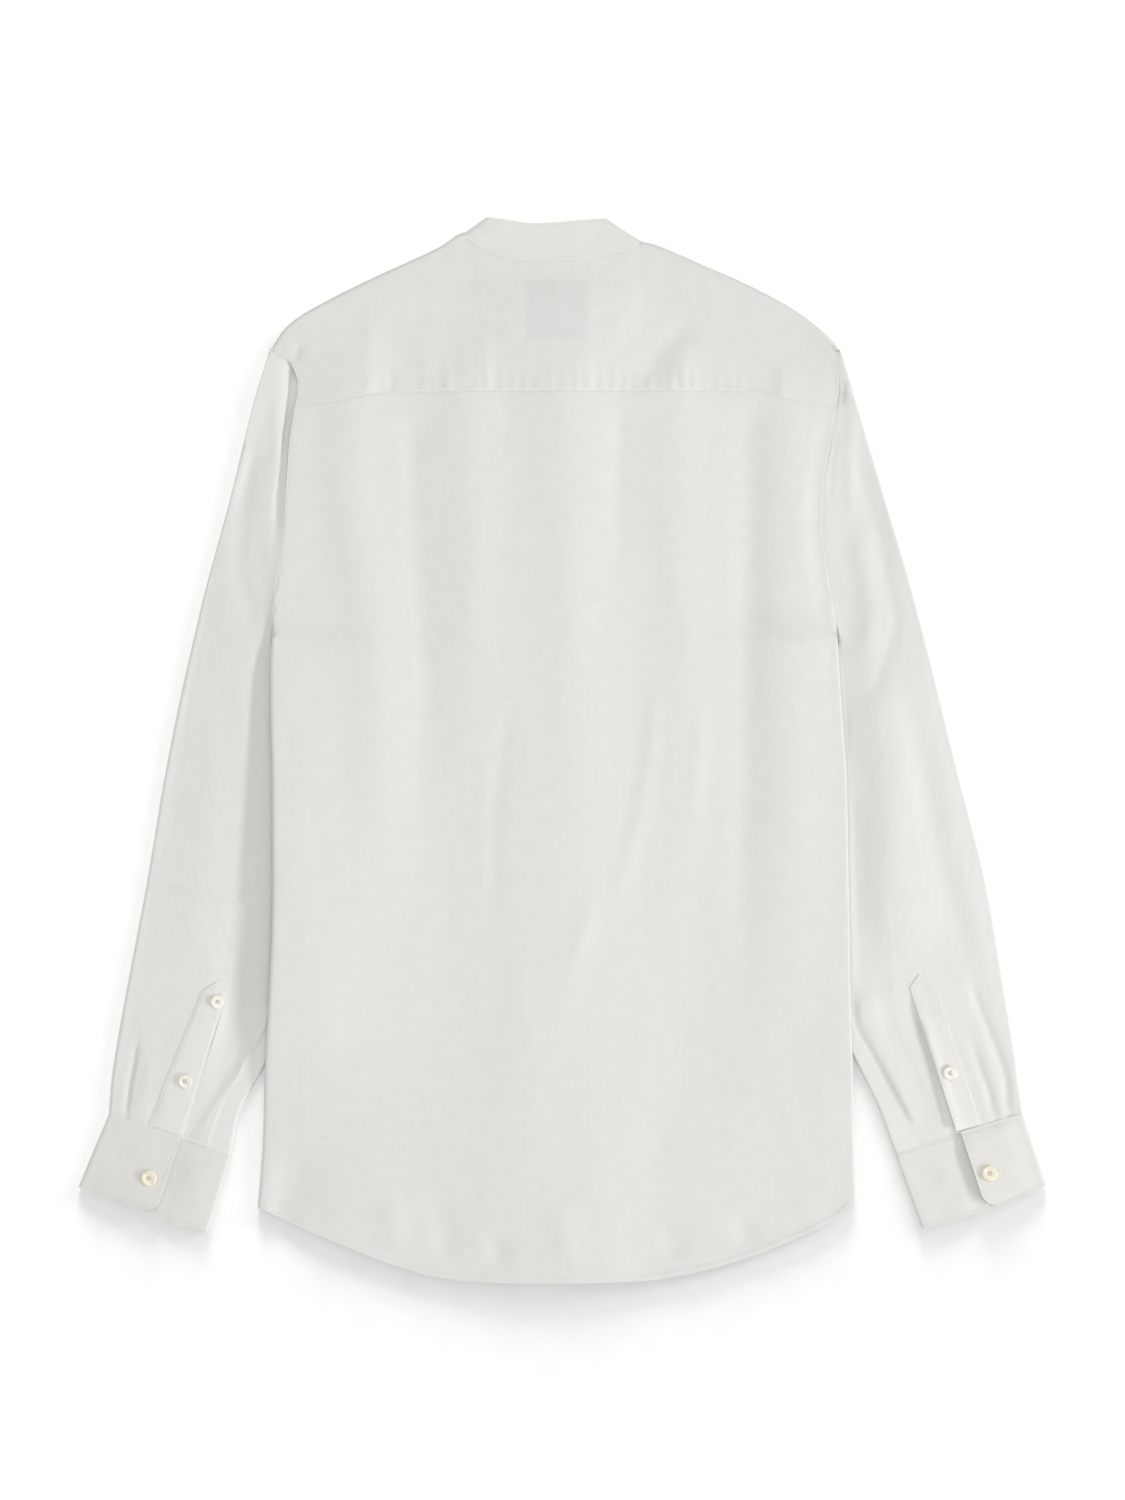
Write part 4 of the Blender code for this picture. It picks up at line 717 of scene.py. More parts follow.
frontTopLeft = [(-210.8, 289), (-196, 315.3), (-164, 333), (-128, 350), (-98, 364), (-77, 372.5), (-67, 353),
                (-53, 330), (-38, 313), (-22, 303), (-5, 299), (11, 300)]
frontTopRight = [(199.4, 288.5), (185.5, 311.6), (153, 330.7), (118, 347), (86, 360.5), (60, 369.5),
                 (52, 351), (41, 329), (27, 312), (12, 303), (-5, 299), (-21, 302.5)]
seamColumns = [0, 14, 26, 38, 50, 72]
centreColumns = [50, 39, 28, 17, 0, -16]


def sideLift(x, y):
    inside = np.where(x < body["centre"], x - body["sideSeamLeft"], body["sideSeamRight"] - x)
    return (1.0 - ease((inside - front["liftStart"]) / front["liftRamp"])) * liftAlong(y)


def frontLevel(x, y, stackLevel):
    pile = 1.0 - ease((np.abs(x - body["centre"]) - front["stackHalf"]) / front["stackRamp"])
    return body["underLift"] * sideLift(x, y) + stackLevel * pile


def frontHem(x, side):
    seamX = body["sideSeamLeft"] if side < 0 else body["sideSeamRight"]
    share = np.minimum(1.0, (seamX - x) / (seamX - body["centre"]))
    return blend(front["hemSide"], front["hemCentre"], 1.0 - (1.0 - share) ** front["hemBow"])


def makeFront(name, side, top, stackLevel):
    seamX = body["sideSeamLeft"] if side < 0 else body["sideSeamRight"]
    places = [seamX - side * d for d in seamColumns] + [body["centre"] + side * d for d in centreColumns]
    places[0] -= side * seam
    at = np.linspace(0, len(places) - 1, front["columns"])
    column = curveThrough(list(enumerate(places)))(at)
    topX = curveThrough([(i, p[0]) for i, p in enumerate(top)])(at)
    topY = curveThrough([(i, p[1]) for i, p in enumerate(top)])(at)
    armhole = armholeLeft if side < 0 else armholeRight
    share = np.linspace(0, 1, front["upperRows"], endpoint=False)[:, None]
    x = blend(topX, column, share)
    y = blend(topY, front["underarm"], share)
    edgeY = blend(top[0][1], front["underarm"], share)
    straight = blend(top[0][0], places[0], share)
    x = x + (armhole(edgeY) - side * seam - straight) * np.maximum(0, 1 - at / 4) ** 2
    upper = stack(x, y, frontLevel(x, y, stackLevel))
    down = np.linspace(0, 1, front["lowerRows"])[:, None] ** front["rowSpread"]
    x = np.broadcast_to(column, (front["lowerRows"], front["columns"]))
    y = blend(front["underarm"], frontHem(column, side), down)
    z = frontLevel(x, y, stackLevel)
    pastHem = y - frontHem(column, side) - backPanel["hemWidth"]
    z = z - front["hemSink"] * (1.0 - ease(pastHem / backPanel["hemStep"])) * (z > 0.5)
    lower = stack(x, y, z)
    return clothPiece(name, np.concatenate([upper, lower]), linen, wall, flip=side < 0)


def makeFrontStrip():
    x = np.linspace(body["centre"] - front["lap"] + 0.5, body["centre"] + front["lap"] - 0.5, 9)
    end = frontHem(x, -1) + 1.0
    y = blend(front["stripTop"], end, np.linspace(0, 1, 90)[:, None])
    z = frontLevel(x, y, front["leftLevel"]) - seam - solidWall
    fromStitch = np.abs(x - body["centre"]) - front["stripStitch"]
    z = z - front["stripGroove"] * np.exp(-(fromStitch / front["grooveHalf"]) ** 2)
    return clothPiece("frontButtonStrip", stack(x, y, z), linen, wall, flip=True)


# Sleeves: closed tubes pressed flat; their inner halves pass under the body
sleeve = {
    "flat": 3.2,
    "crest": 0.9,
    "hollow": 1.7,
    "placketStart": 0.825,
    "placketInset": 0.004,
    "cuffTop": 4.9,
    "cuffUnder": 3.6,
    "topColumns": 66,
    "bottomColumns": 16,
    "folds": 1.2,
    "restless": 0.26,
    "lowest": 1.9,
    "cuffSink": 0.5,
    "tuckShare": 0.006,
    "tuckIn": 1.6,
    "tuckUp": 1.4,
    "tuckDrop": 0.9,
    "hollowSoft": 3.2,
    "hollowWidth": 36.0,
    "hollowTurn": -190.0,
    "hollowFade": (30.0, 9.0),
    "placketPoint": 0.016,
}
# share of the length, outer edge, crease where the body's edge crosses, inner edge
leftSections = [
    (0.000, -222.0, 305.0, -221.8, 80.0, -150.4, 58.5),
    (0.072, -234.5, 263.5, -222.6, 72.0, -150.2, 43.0),
    (0.198, -252.5, 190.5, -223.0, 62.0, -150.0, 15.0),
    (0.338, -274.0, 110.5, -222.7, 50.0, -151.5, -18.0),
    (0.543, -300.0, -8.5, -221.4, -44.0, -161.0, -72.0),
    (0.708, -316.5, -105.5, -220.8, -125.0, -180.0, -133.0),
    (0.844, -331.5, -184.5, -224.0, -202.0, -209.5, -205.0),
    (0.915, -339.0, -227.0, -243.0, -242.0, -229.0, -245.0),
    (0.956, -342.5, -250.5, -260.0, -271.0, -245.5, -275.0),
    (1.000, -344.5, -276.5, -270.5, -301.5, -252.0, -308.0),
]
rightSections = [
    (0.000, 211.0, 305.0, 210.2, 80.0, 138.9, 58.5),
    (0.120, 231.5, 235.0, 212.5, 68.0, 138.7, 32.0),
    (0.215, 247.5, 182.0, 213.8, 60.0, 138.6, 11.0),
    (0.339, 268.5, 110.5, 214.5, 49.0, 140.0, -18.0),
    (0.550, 300.5, -17.0, 216.8, -46.0, 149.0, -72.0),
    (0.711, 322.5, -105.5, 218.4, -124.0, 169.0, -133.0),
    (0.855, 337.0, -190.5, 220.6, -203.0, 207.0, -206.0),
    (0.915, 343.0, -226.0, 239.0, -240.0, 226.0, -243.0),
    (0.952, 346.0, -248.0, 255.0, -269.0, 240.5, -273.0),
    (1.000, 350.0, -276.5, 272.0, -300.0, 252.5, -306.0),
]
leftArm = {
    "name": "Left",
    "mirror": -1,
    "sections": leftSections,
    "slit": ((-256, -188), (-289.5, -297)),
    "placketWidth": (18.0, 28.0),
    "slitDrop": -1.2,
    "pastSlit": 4.7,
    "pressed": 0.45,
    "lift": 0.0,
    "cuffLift": 1.6,
    "corners": ((-344.5, -276.5), (-252.0, -308.0), (-367.5, -331.5), (-269.5, -365.0)),
    "lap": 0.60,
    "endBow": curveThrough([(0, 0), (0.27, 1.2), (0.4, -0.6), (0.54, -1.8), (0.66, -3.6), (0.84, -2.0),
                            (1, 0)]),
    "cuffCreases": [
        Crease(-0.8, 7, 9, 16, 16, [(-350, -304), (-330, -314), (-312, -322), (-296, -330)]),
        Crease(0.5, 6, 7, 12, 12, [(-352, -292), (-328, -299), (-306, -306)]),
        Crease(-0.4, 1, 9, 4, 6, [(-288, -300), (-296, -320), (-305, -346)]),
        Crease(0.4, 8, 8, 6, 8, [(-268, -306), (-275, -330), (-280, -352)]),
    ],
    "creases": [
        Crease(-2.1, 3.6, 4.0, 18, 60, [(-203, 300), (-206, 290), (-206, 272), (-208, 253), (-210, 235),
                                        (-212, 217), (-215, 195), (-218, 165), (-220, 140)]),
        Crease(-1.7, 2.8, 3.2, 16, 26, [(-201, 304), (-204.5, 286), (-206, 268), (-208, 250), (-211, 232),
                                        (-213, 218)]),
        Crease(0.5, 4, 4, 10, 30, [(-213, 302), (-216, 284), (-218, 250), (-221, 220)]),
        Crease(-0.8, 6, 6, 20, 40, [(-231, 275), (-236, 240), (-238, 205), (-240, 177)]),
        Crease(-0.9, 7, 7, 30, 20, [(-240, 235), (-243, 178), (-246, 142), (-238, 108), (-230, 90)]),
        Crease(0.5, 10, 10, 30, 30, [(-262, 30), (-266, -40), (-276, -120), (-284, -180)]),
        Crease(-0.4, 10, 10, 30, 30, [(-284, 60), (-292, -20), (-300, -100)]),
        Crease(-1.2, 3.4, 1.6, 22, 0, [(-322, -212), (-324, -233), (-328, -255), (-332, -286)]),
        Crease(0.5, 5, 5, 26, 0, [(-312, -222), (-315, -246), (-322, -284)]),
        Crease(-0.8, 3.4, 4.0, 16, 0, [(-302, -255), (-308, -270), (-314, -286)]),
        Crease(-1.0, 2.4, 2.6, 8, 0, [(-258, -282), (-261, -293), (-263, -306)]),
        Crease(-0.8, 2.2, 2.4, 8, 0, [(-250, -288), (-253, -297), (-255, -306)]),
        Crease(-0.9, 7, 8, 24, 20, [(-226, -196), (-238, -222), (-246, -244), (-252, -262)]),
    ],
}
rightArm = {
    "name": "Right",
    "mirror": 1,
    "sections": rightSections,
    "slit": ((262.5, -178), (302, -300)),
    "placketWidth": (20.0, 20.0),
    "slitDrop": 1.2,
    "pastSlit": 3.6,
    "pressed": 0.0,
    "lift": 2.4,
    "cuffLift": 2.6,
    "corners": ((350.0, -276.5), (252.5, -306.0), (367.5, -330.0), (273.0, -363.5)),
    "lap": 0.49,
    "endBow": curveThrough([(0, 0), (0.2, -2.2), (0.35, -3.4), (0.47, -2.4), (0.75, -1.6), (1, 0)]),
    "cuffCreases": [
        Crease(-0.7, 6, 8, 14, 14, [(264, -316), (276, -328), (290, -336)]),
        Crease(0.6, 6, 7, 12, 12, [(270, -306), (284, -316), (298, -326)]),
        Crease(-0.5, 7, 8, 12, 12, [(300, -346), (288, -352), (278, -356)]),
    ],
    "creases": [
        Crease(-1.1, 3.6, 3.4, 6, 14, [(213, 282), (212, 270), (211, 256)]),
        Crease(-0.6, 3, 3, 10, 30, [(208, 246), (205, 225), (203, 205), (203, 180)]),
        Crease(0.8, 5, 5, 14, 40, [(222, 262), (219, 236), (218, 201), (222, 158)]),
        Crease(-0.6, 4, 3, 14, 20, [(214, 276), (210, 262), (206, 252)]),
        Crease(-1.0, 5, 6, 24, 30, [(224, 228), (229, 198), (240, 161), (246, 127), (252, 99), (247, 76),
                                    (237, 51), (226, 31)]),
        Crease(2.0, 9, 8, 30, 30, [(223, 178), (231, 130), (234, 100), (228, 60)]),
        Crease(-1.0, 10, 14, 30, 40, [(218, 14), (221, -20), (223, -77), (224, -148), (225, -200)]),
        Crease(3.5, 20, 24, 60, 60, [(238, 80), (246, 20), (250, -60), (255, -120), (264, -175)]),
        Crease(-1.1, 9, 9, 50, 40, [(258, 60), (272, -10), (283, -63), (291, -100), (302, -134),
                                    (311, -175)]),
        Crease(0.6, 9, 8, 50, 40, [(276, 40), (290, -20), (300, -80), (313, -140), (320, -190)]),
        Crease(-1.3, 3.2, 3.8, 40, 0, [(306, -160), (315, -192), (324, -215), (331, -234), (336, -249),
                                       (338, -270), (342, -284)]),
        Crease(-1.1, 2.8, 3.2, 24, 0, [(308, -214), (316, -241), (323, -260), (327, -275), (335, -290)]),
        Crease(0.4, 4, 4, 24, 0, [(314, -206), (324, -241), (331, -264), (336, -284)]),
        Crease(-1.1, 2.4, 2.2, 20, 0, [(270, -196), (275, -220), (281, -241), (287, -267), (296, -300)]),
        Crease(0.5, 7, 6, 20, 14, [(250, -226), (258, -244), (268, -268), (276, -290)]),
        Crease(2.0, 14, 8, 24, 16, [(228, -176), (234.5, -201), (238.6, -220), (248, -241.5), (259, -268.5),
                                    (268, -289)]),
    ],
}


hollowEdge = curveThrough([(92, -225), (88, -226), (51, -234), (-6, -237), (-63, -243), (-119, -252),
                           (-162, -257), (-193, -258), (-225, -261), (-245, -265), (-266, -273),
                           (-293, -287)])
hollowFar = curveThrough([(-189, -206), (-196, -217), (-214, -231), (-239, -243), (-258, -254), (-282, -270),
                          (-303, -283)])


def cornerTurn(count):
    return np.linspace(0, math.pi, count + 2)[1:-1]


def sleeveForm(arm):
    names = ("outerX", "outerY", "creaseX", "creaseY", "innerX", "innerY")
    return {name: curveThrough([(row[0], row[column]) for row in arm["sections"]])
            for column, name in enumerate(names, 1)}


def outerRadius(t):
    return blend(blend(roll, 2.1, ease(t / 0.15)), sleeve["cuffTop"] / 2, ease((t - 0.7) / 0.3))


def sleeveEnds(form, t):
    # the outer fold and the crease at the body's edge, at one share of the sleeve's length
    outer = np.array([form["outerX"](t), form["outerY"](t)])
    return outer, np.array([form["creaseX"](t), form["creaseY"](t)])


def sleeveTop(arm, form, t, q):
    # top layer of the sleeve: t runs from the armhole to the cuff, q from the outer fold to the body's edge
    outer, crease = sleeveEnds(form, t)
    width = math.dist(outer, crease)
    radius = outerRadius(t)
    share = blend(radius / width, 1.0, q)
    x = blend(outer[0], crease[0], share)
    y = blend(outer[1], crease[1], share)
    first = arm["sections"][0]
    seamY = blend(first[2], first[4], q)
    edge = leftEdge if arm["mirror"] < 0 else rightEdge
    bow = edge(seamY) + arm["mirror"] * 0.3 - blend(first[1], first[3], q)
    bow = bow * max(0.0, 1.0 - t / 0.3) ** 2 * np.clip(np.minimum(80 * q, 12 * (1 - q)), 0, 1)
    x = x + bow
    crown = sleeve["crest"] * np.sin(math.pi * np.clip(q, 0, 1)) ** 0.9
    relaxed = blend(2 * radius, sleeve["flat"] + 0.1, q) + crown
    past = ease((q - slitShare(arm, outer, crease, radius / width)) / 0.012)
    step = ease((t - sleeve["placketStart"]) / (1.0 - sleeve["placketStart"]))
    atCuff = blend(sleeve["cuffTop"], arm["pastSlit"], past)
    relaxed = relaxed - past * arm["slitDrop"] * ease((t - sleeve["placketStart"]) / 0.05) * (1.0 - step)
    soft = sleeve["folds"] * creaseHeight(x, y, arm["creases"])
    soft = soft + restless(x, y, sleeve["restless"], 7 + arm["mirror"])
    edgeFade = ease(q / 0.07) * ease((1.0 - q) / 0.06)
    relaxed = blend(relaxed, atCuff, step ** 2)
    sewn = edgeHeight[arm["mirror"]](seamY) - 0.3
    sewn = blend(2 * roll, sewn, ease(q / 0.12))
    sewn = blend(sewn, sleeve["flat"] + 0.1, ease((q - 0.86) / 0.14))
    near = max(0.0, 1.0 - t / 0.2) ** 2
    z = blend(relaxed, sewn, near) + soft * edgeFade * (1.0 - 0.55 * ease((t - 0.97) / 0.03))
    z = np.maximum(z, sleeve["lowest"]) - sleeve["cuffSink"] * ease((t - 0.99) / 0.008)
    if arm["mirror"] < 0:
        z = sunken(x, y, z)
    tuck = max(0.0, 1.0 - t / sleeve["tuckShare"])
    atTop = 1.0 - ease((q - 0.02) / 0.1)
    x = x - arm["mirror"] * sleeve["tuckIn"] * tuck
    return x, y + sleeve["tuckUp"] * tuck * atTop, z - sleeve["tuckDrop"] * tuck


def slitShare(arm, outer, crease, first):
    # where the straight slit under the placket crosses a section of the sleeve
    a, b = np.array(arm["slit"])
    along, across = b - a, crease - outer
    determinant = along[0] * across[1] - along[1] * across[0]
    share = (along[0] * (a[1] - outer[1]) - along[1] * (a[0] - outer[0])) / determinant
    return np.clip((share - first) / (1.0 - first), 0.3, 0.95)


def sunken(x, y, z):
    # on the left the sleeve drops into a flat hollow beside the body's edge, which runs out along the placket
    past = 1.0 / (1.0 + np.exp(np.clip((hollowEdge(y) - x) / sleeve["hollowSoft"], -30, 30)))
    far = np.where(y > sleeve["hollowTurn"], leftEdge(y) + sleeve["hollowWidth"], hollowFar(y))
    soft = np.where(y > sleeve["hollowTurn"], *sleeve["hollowFade"])
    before = ease((far - x) / soft)
    return blend(z, sleeve["hollow"], past * before * hollowAlong(y))


def sleeveRing(arm, form, t):
    q = np.linspace(0, 1, sleeve["topColumns"])
    outer, crease = sleeveEnds(form, t)
    edge = slitShare(arm, outer, crease, outerRadius(t) / math.dist(outer, crease)) if t > 0.7 else 0.7
    q = np.sort(np.concatenate([q, [edge - 0.002, edge + 0.004, edge + 0.008, edge + 0.014]]))
    x, y, z = sleeveTop(arm, form, t, q)
    ring = [stack(x, y, z)]
    inner = np.array([form["innerX"](t), form["innerY"](t)])
    innerRadius = blend(sleeve["flat"], sleeve["cuffUnder"], ease((t - 0.7) / 0.3)) / 2
    inward = (inner - crease) / math.dist(inner, crease)
    innerCentre = inner - inward * innerRadius
    hidden = np.linspace(0, 1, 13)[1:]
    hiddenX, hiddenY = blend(crease[0], innerCentre[0], hidden), blend(crease[1], innerCentre[1], hidden)
    hiddenZ = np.full(hidden.shape, 2 * innerRadius)
    if arm["mirror"] < 0:
        hiddenZ = blend(hiddenZ, sunken(hiddenX, hiddenY, hiddenZ), ease((1.0 - hidden) / 0.3))
    ring.append(stack(hiddenX, hiddenY, hiddenZ))
    turn = cornerTurn(5)
    ring.append(stack(innerCentre[0] + inward[0] * innerRadius * np.sin(turn),
                      innerCentre[1] + inward[1] * innerRadius * np.sin(turn),
                      innerRadius + innerRadius * np.cos(turn)))
    radius = outerRadius(t)
    across = (crease - outer) / math.dist(crease, outer)
    steep = max(0.0, 1.0 - t / 0.12)
    outward = -blend(across, np.array([-0.70 * arm["mirror"], -0.71]), steep)
    outward = outward / math.hypot(*outward)
    outerCentre = outer - outward * radius
    share = np.linspace(0, 1, sleeve["bottomColumns"])
    first = arm["sections"][0]
    holeY = blend(first[6], first[2] - 2.0, share)
    lineX = blend(first[5], first[1] - arm["mirror"] * 2.0, share)
    armhole = armholeLeft if arm["mirror"] < 0 else armholeRight
    bow = armhole(holeY) + arm["mirror"] * 0.8 - lineX
    bow = bow * max(0.0, 1.0 - t / 0.3) * np.clip(np.minimum(6 * share, 6 * (1 - share)), 0, 1)
    ring.append(stack(blend(innerCentre[0], outerCentre[0], share) + bow,
                      blend(innerCentre[1], outerCentre[1], share), 0.0))
    turn = cornerTurn(6)[::-1]
    ring.append(stack(outerCentre[0] + outward[0] * radius * np.sin(turn),
                      outerCentre[1] + outward[1] * radius * np.sin(turn), radius + radius * np.cos(turn)))
    return np.concatenate(ring)


def makeSleeve(arm):
    form = sleeveForm(arm)
    stations = np.concatenate([np.linspace(0, 0.06, 20), np.linspace(0.06, 0.8, 100)[1:],
                               np.linspace(0.8, 1.0, 54)[1:]])
    rings = np.array([sleeveRing(arm, form, t) for t in stations])
    return clothPiece("sleeve" + arm["name"], rings, sleeveLinenPaintedLighter, wall, closed=True, flip=arm["mirror"] > 0)


def placketPoint(arm, form, t, across):
    # across runs from 0 at the strip's outer side to 1 at its free side
    outer, crease = sleeveEnds(form, t)
    width = math.dist(outer, crease)
    edge = slitShare(arm, outer, crease, outerRadius(t) / width)
    strip = blend(*arm["placketWidth"], (t - sleeve["placketStart"]) / (1.0 - sleeve["placketStart"]))
    return sleeveTop(arm, form, t, edge - sleeve["placketInset"] - (1.0 - across) * strip / width)


def makeSleevePlacket(arm):
    form = sleeveForm(arm)
    across = np.linspace(0, 1, 17)
    rows = []
    point = sleeve["placketPoint"] * (1.0 - np.abs(2 * across - 1))
    for share in np.linspace(0, 1, 46):
        line = []
        for a, p in zip(across, point):
            t = blend(sleeve["placketStart"] - p, 0.996, share)
            x, y, z = placketPoint(arm, form, t, a)
            lifted = arm["lift"] * (0.6 * a + 0.4 * ease((a - 0.6) / 0.4)) * ease((t - 0.83) / 0.06)
            sewnDown = 0.3 * (1.0 - ease(a / 0.12)) + arm["pressed"] * (1.0 - ease((1.0 - a) / 0.1))
            line.append((float(x), float(y), float(z) + wall - sewnDown + lifted))
        rows.append(line)
    return clothPiece("sleevePlacket" + arm["name"], np.array(rows), sleeveLinenPaintedLighter, wall,
                      flip=arm["mirror"] > 0)


# Cuffs: flat double bands, one end lapped over the other with a round corner
cuff = {
    "wall": 1.2,
    "overlap": 20.0,
    "corner": 13.0,
    "length": 59.0,
    "stitchInset": 2.6,
    "allowance": 11.0,
    "liftReach": 46.0,
    "dip": 1.3,
    "endRise": 1.5,
    "seamSink": 0.75,
    "seamRelief": 0.4,
    "groove": 0.3,
    "grooveHalf": 0.9,
    "restless": 0.25,
}


def makeCuff(arm):
    seamOuter, seamInner, endOuter, endInner = (np.array(c) for c in arm["corners"])
    width = math.dist(seamOuter, seamInner)
    lap = arm["lap"] * width
    outerR = sleeve["cuffTop"] / 2
    innerR = sleeve["cuffUnder"] / 2
    rows = []
    down = -0.02 + 1.02 * np.concatenate([np.linspace(0, 0.05, 5), np.linspace(0.05, 0.75, 20)[1:],
                                          np.linspace(0.75, 1, 20)[1:]])
    for d in down:
        fromCorner = cuff["corner"] - (1.0 - d) * cuff["length"]
        rounding = 0.0
        if fromCorner > 0:
            rounding = cuff["corner"] - math.sqrt(max(0.0, cuff["corner"] ** 2 - fromCorner ** 2))
        end = lap - rounding
        share = np.linspace(1, 0, 30)
        turn = cornerTurn(5)
        along = [end * share + outerR * (1 - share), outerR - outerR * np.sin(turn)]
        opened = 0.35 + 0.65 * ease(d / 0.3)
        nearLap = np.clip((along[0] - lap) / cuff["liftReach"] + 1.0, 0, 1)
        raised = arm["cuffLift"] * opened * nearLap ** 1.3
        z = [sleeve["cuffTop"] + raised, outerR + outerR * np.cos(turn)]
        along.append(blend(outerR, width - innerR, np.linspace(0, 1, 26)))
        z.append(np.zeros(26))
        turn = turn[::-1]
        along.append(width - innerR + innerR * np.sin(turn))
        z.append(innerR + innerR * np.cos(turn))
        along.append(blend(width - innerR, lap - cuff["overlap"], np.linspace(0, 1, 20)))
        past = along[-1] - lap - 1.0
        z.append(sleeve["cuffUnder"] - cuff["dip"] * opened * (1.0 - ease(past / 15.0)))
        along, z = np.concatenate(along), np.concatenate(z)
        top = blend(seamOuter[:, None], seamInner[:, None], along / width)
        low = blend(endOuter[:, None], endInner[:, None], along / width)
        x, y = blend(top, low, d)
        y = y + arm["endBow"](along / width) * max(0.0, d) ** 2
        upper = z > 2.0
        fromSeam = d * cuff["length"]
        relief = cuff["seamRelief"] * (1.0 - ease((fromSeam - cuff["allowance"]) / 2.5))
        edge = np.minimum(fromSeam, (1 - d) * cuff["length"])
        groove = np.exp(-((edge - cuff["stitchInset"]) / cuff["grooveHalf"]) ** 2)
        relief = relief - cuff["groove"] * groove
        relief = relief - cuff["seamSink"] * (1.0 - ease(fromSeam / 2.4))
        soft = restless(x, y, cuff["restless"], 21) + creaseHeight(x, y, arm["cuffCreases"])
        relief = relief + soft * ease(edge / 8.0)
        relief = relief + cuff["endRise"] * ease(d)
        inner = np.abs(along - outerR) > 1.5
        z = z + np.where(upper & inner, relief * ease((np.abs(along - outerR) - 1.5) / 15.0), 0.0)
        rows.append(stack(x, y, z))
    return clothPiece("cuff" + arm["name"], np.array(rows), linen, cuff["wall"], flip=arm["mirror"] < 0)


# Collar band: one strip round the neck, lapped at centre front
band = {
    "wall": 1.0,
    "freeLevel": 5.0,
    "across": 15,
    "steps": 7,
    "proud": 0.12,
}
# sewn edge, free edge and the angle of the turn; 0 is the upper layer and 180 the lower one
bandSections = [
    (9.0, 300.4, 9.0, 328.5, 180), (-5.0, 299.5, -5.0, 327.5, 180), (-22.0, 303.5, -19.0, 331.0, 180),
    (-37.6, 313.5, -28.5, 337.5, 180), (-52.5, 330.5, -38.0, 350.5, 180), (-66.3, 353.5, -48.0, 368.0, 180),
    (-70.5, 372.0, -53.5, 386.0, 180), (-71.6, 388.5, -55.5, 400.0, 180), (-73.8, 391.3, -57.0, 403.3, 135),
    (-74.6, 392.3, -57.6, 404.6, 90), (-73.6, 391.0, -56.6, 404.0, 45), (-70.4, 387.6, -54.0, 403.8, 0),
    (-58.7, 379.8, -47.5, 403.0, 0), (-39.9, 372.8, -36.0, 401.3, 0), (-22.0, 372.2, -24.0, 399.6, 0),
    (-3.0, 372.2, -8.0, 400.2, 0), (17.0, 372.4, 9.5, 401.6, 0), (33.7, 376.6, 24.0, 402.8, 0),
    (49.0, 380.6, 32.5, 403.0, 0), (58.4, 384.0, 36.5, 400.8, 45), (60.8, 385.6, 37.6, 399.8, 90),
    (58.8, 384.4, 36.5, 398.4, 135), (54.6, 382.4, 35.0, 395.5, 180), (55.5, 371.0, 37.0, 384.0, 180),
    (51.3, 351.5, 33.0, 366.5, 180), (40.4, 329.5, 26.0, 349.5, 180), (26.6, 312.5, 17.5, 336.5, 180),
    (12.0, 303.5, 9.0, 330.5, 180), (-5.0, 299.5, -5.0, 327.5, 180), (-19.0, 302.5, -19.0, 331.0, 180),
]


def makeBand():
    rows = []
    for r, (lowX, lowY, topX, topY, turn) in enumerate(bandSections):
        level = front["leftLevel"] if r < len(bandSections) / 2 else front["rightLevel"]
        under = -0.05 - 0.17 * math.sin(math.radians(turn))
        share = np.concatenate([[under], np.linspace(0, 1, band["across"])])
        x, y = blend(lowX, topX, share), blend(lowY, topY, share)
        if turn == 180:
            z = frontLevel(x, y, level)
        elif turn == 0:
            z = blend(bodyTop(lowX, lowY, False), band["freeLevel"], share)
        else:
            z = roll + roll * math.cos(math.radians(turn))
            z = z * blend(1.0, band["freeLevel"] / (2 * roll), share)
        z = z + band["proud"] * (turn < 180)
        rows.append(stack(x, y, z))
    grid = smoothThrough(rows, band["steps"])
    return clothPiece("collarBand", grid, sleeveLinenPaintedLighter, band["wall"])


def makeLabel():
    x = np.linspace(*label["x"], 24)
    y = np.linspace(label["y"][1], label["y"][0], 24)[:, None]
    x, y = np.broadcast_arrays(x, y)
    z = bodyTop(x, y, False) - solidWall - lie
    return clothPiece("neckLabel", stack(x, y, z), satin, label["wall"])


backPiece = makeBack()
yokePiece = makeYoke()
print("back and yoke made")
frontLeftPiece = makeFront("frontPanelLeft", -1, frontTopLeft, front["leftLevel"])
frontRightPiece = makeFront("frontPanelRight", 1, frontTopRight, front["rightLevel"])
stripPiece = makeFrontStrip()
print("fronts made")
sleevePieces = {arm["name"]: makeSleeve(arm) for arm in (leftArm, rightArm)}
placketPieces = {arm["name"]: makeSleevePlacket(arm) for arm in (leftArm, rightArm)}
cuffPieces = {arm["name"]: makeCuff(arm) for arm in (leftArm, rightArm)}
print("sleeves and cuffs made")
bandPiece = makeBand()
labelPiece = makeLabel()
print("collar band and label made")


# Buttons: flat discs with a raised rim, a shallow dish and four holes
button = {
    "thick": 2.0,
    "frontSize": 11.0,
    "placketSize": 10.5,
    "cuffSize": 12.0,
    "dish": 0.32,
    "hole": 0.62,
    "holeSpread": 1.2,
    "cream": ("#e7dfc6", "#f0ead8"),
    "pale": ("#e8e5d6", "#f1efe5"),
    "segments": 40,
    "seatReach": 3.2,
    "seatGap": 0.1,
    "crossSize": (1.55, 0.17, 0.30),
    "crossApart": 0.16,
    "crossRise": 0.12,
    "frontTurns": (4, -9, 16, 2, -14, 7, 21),
}


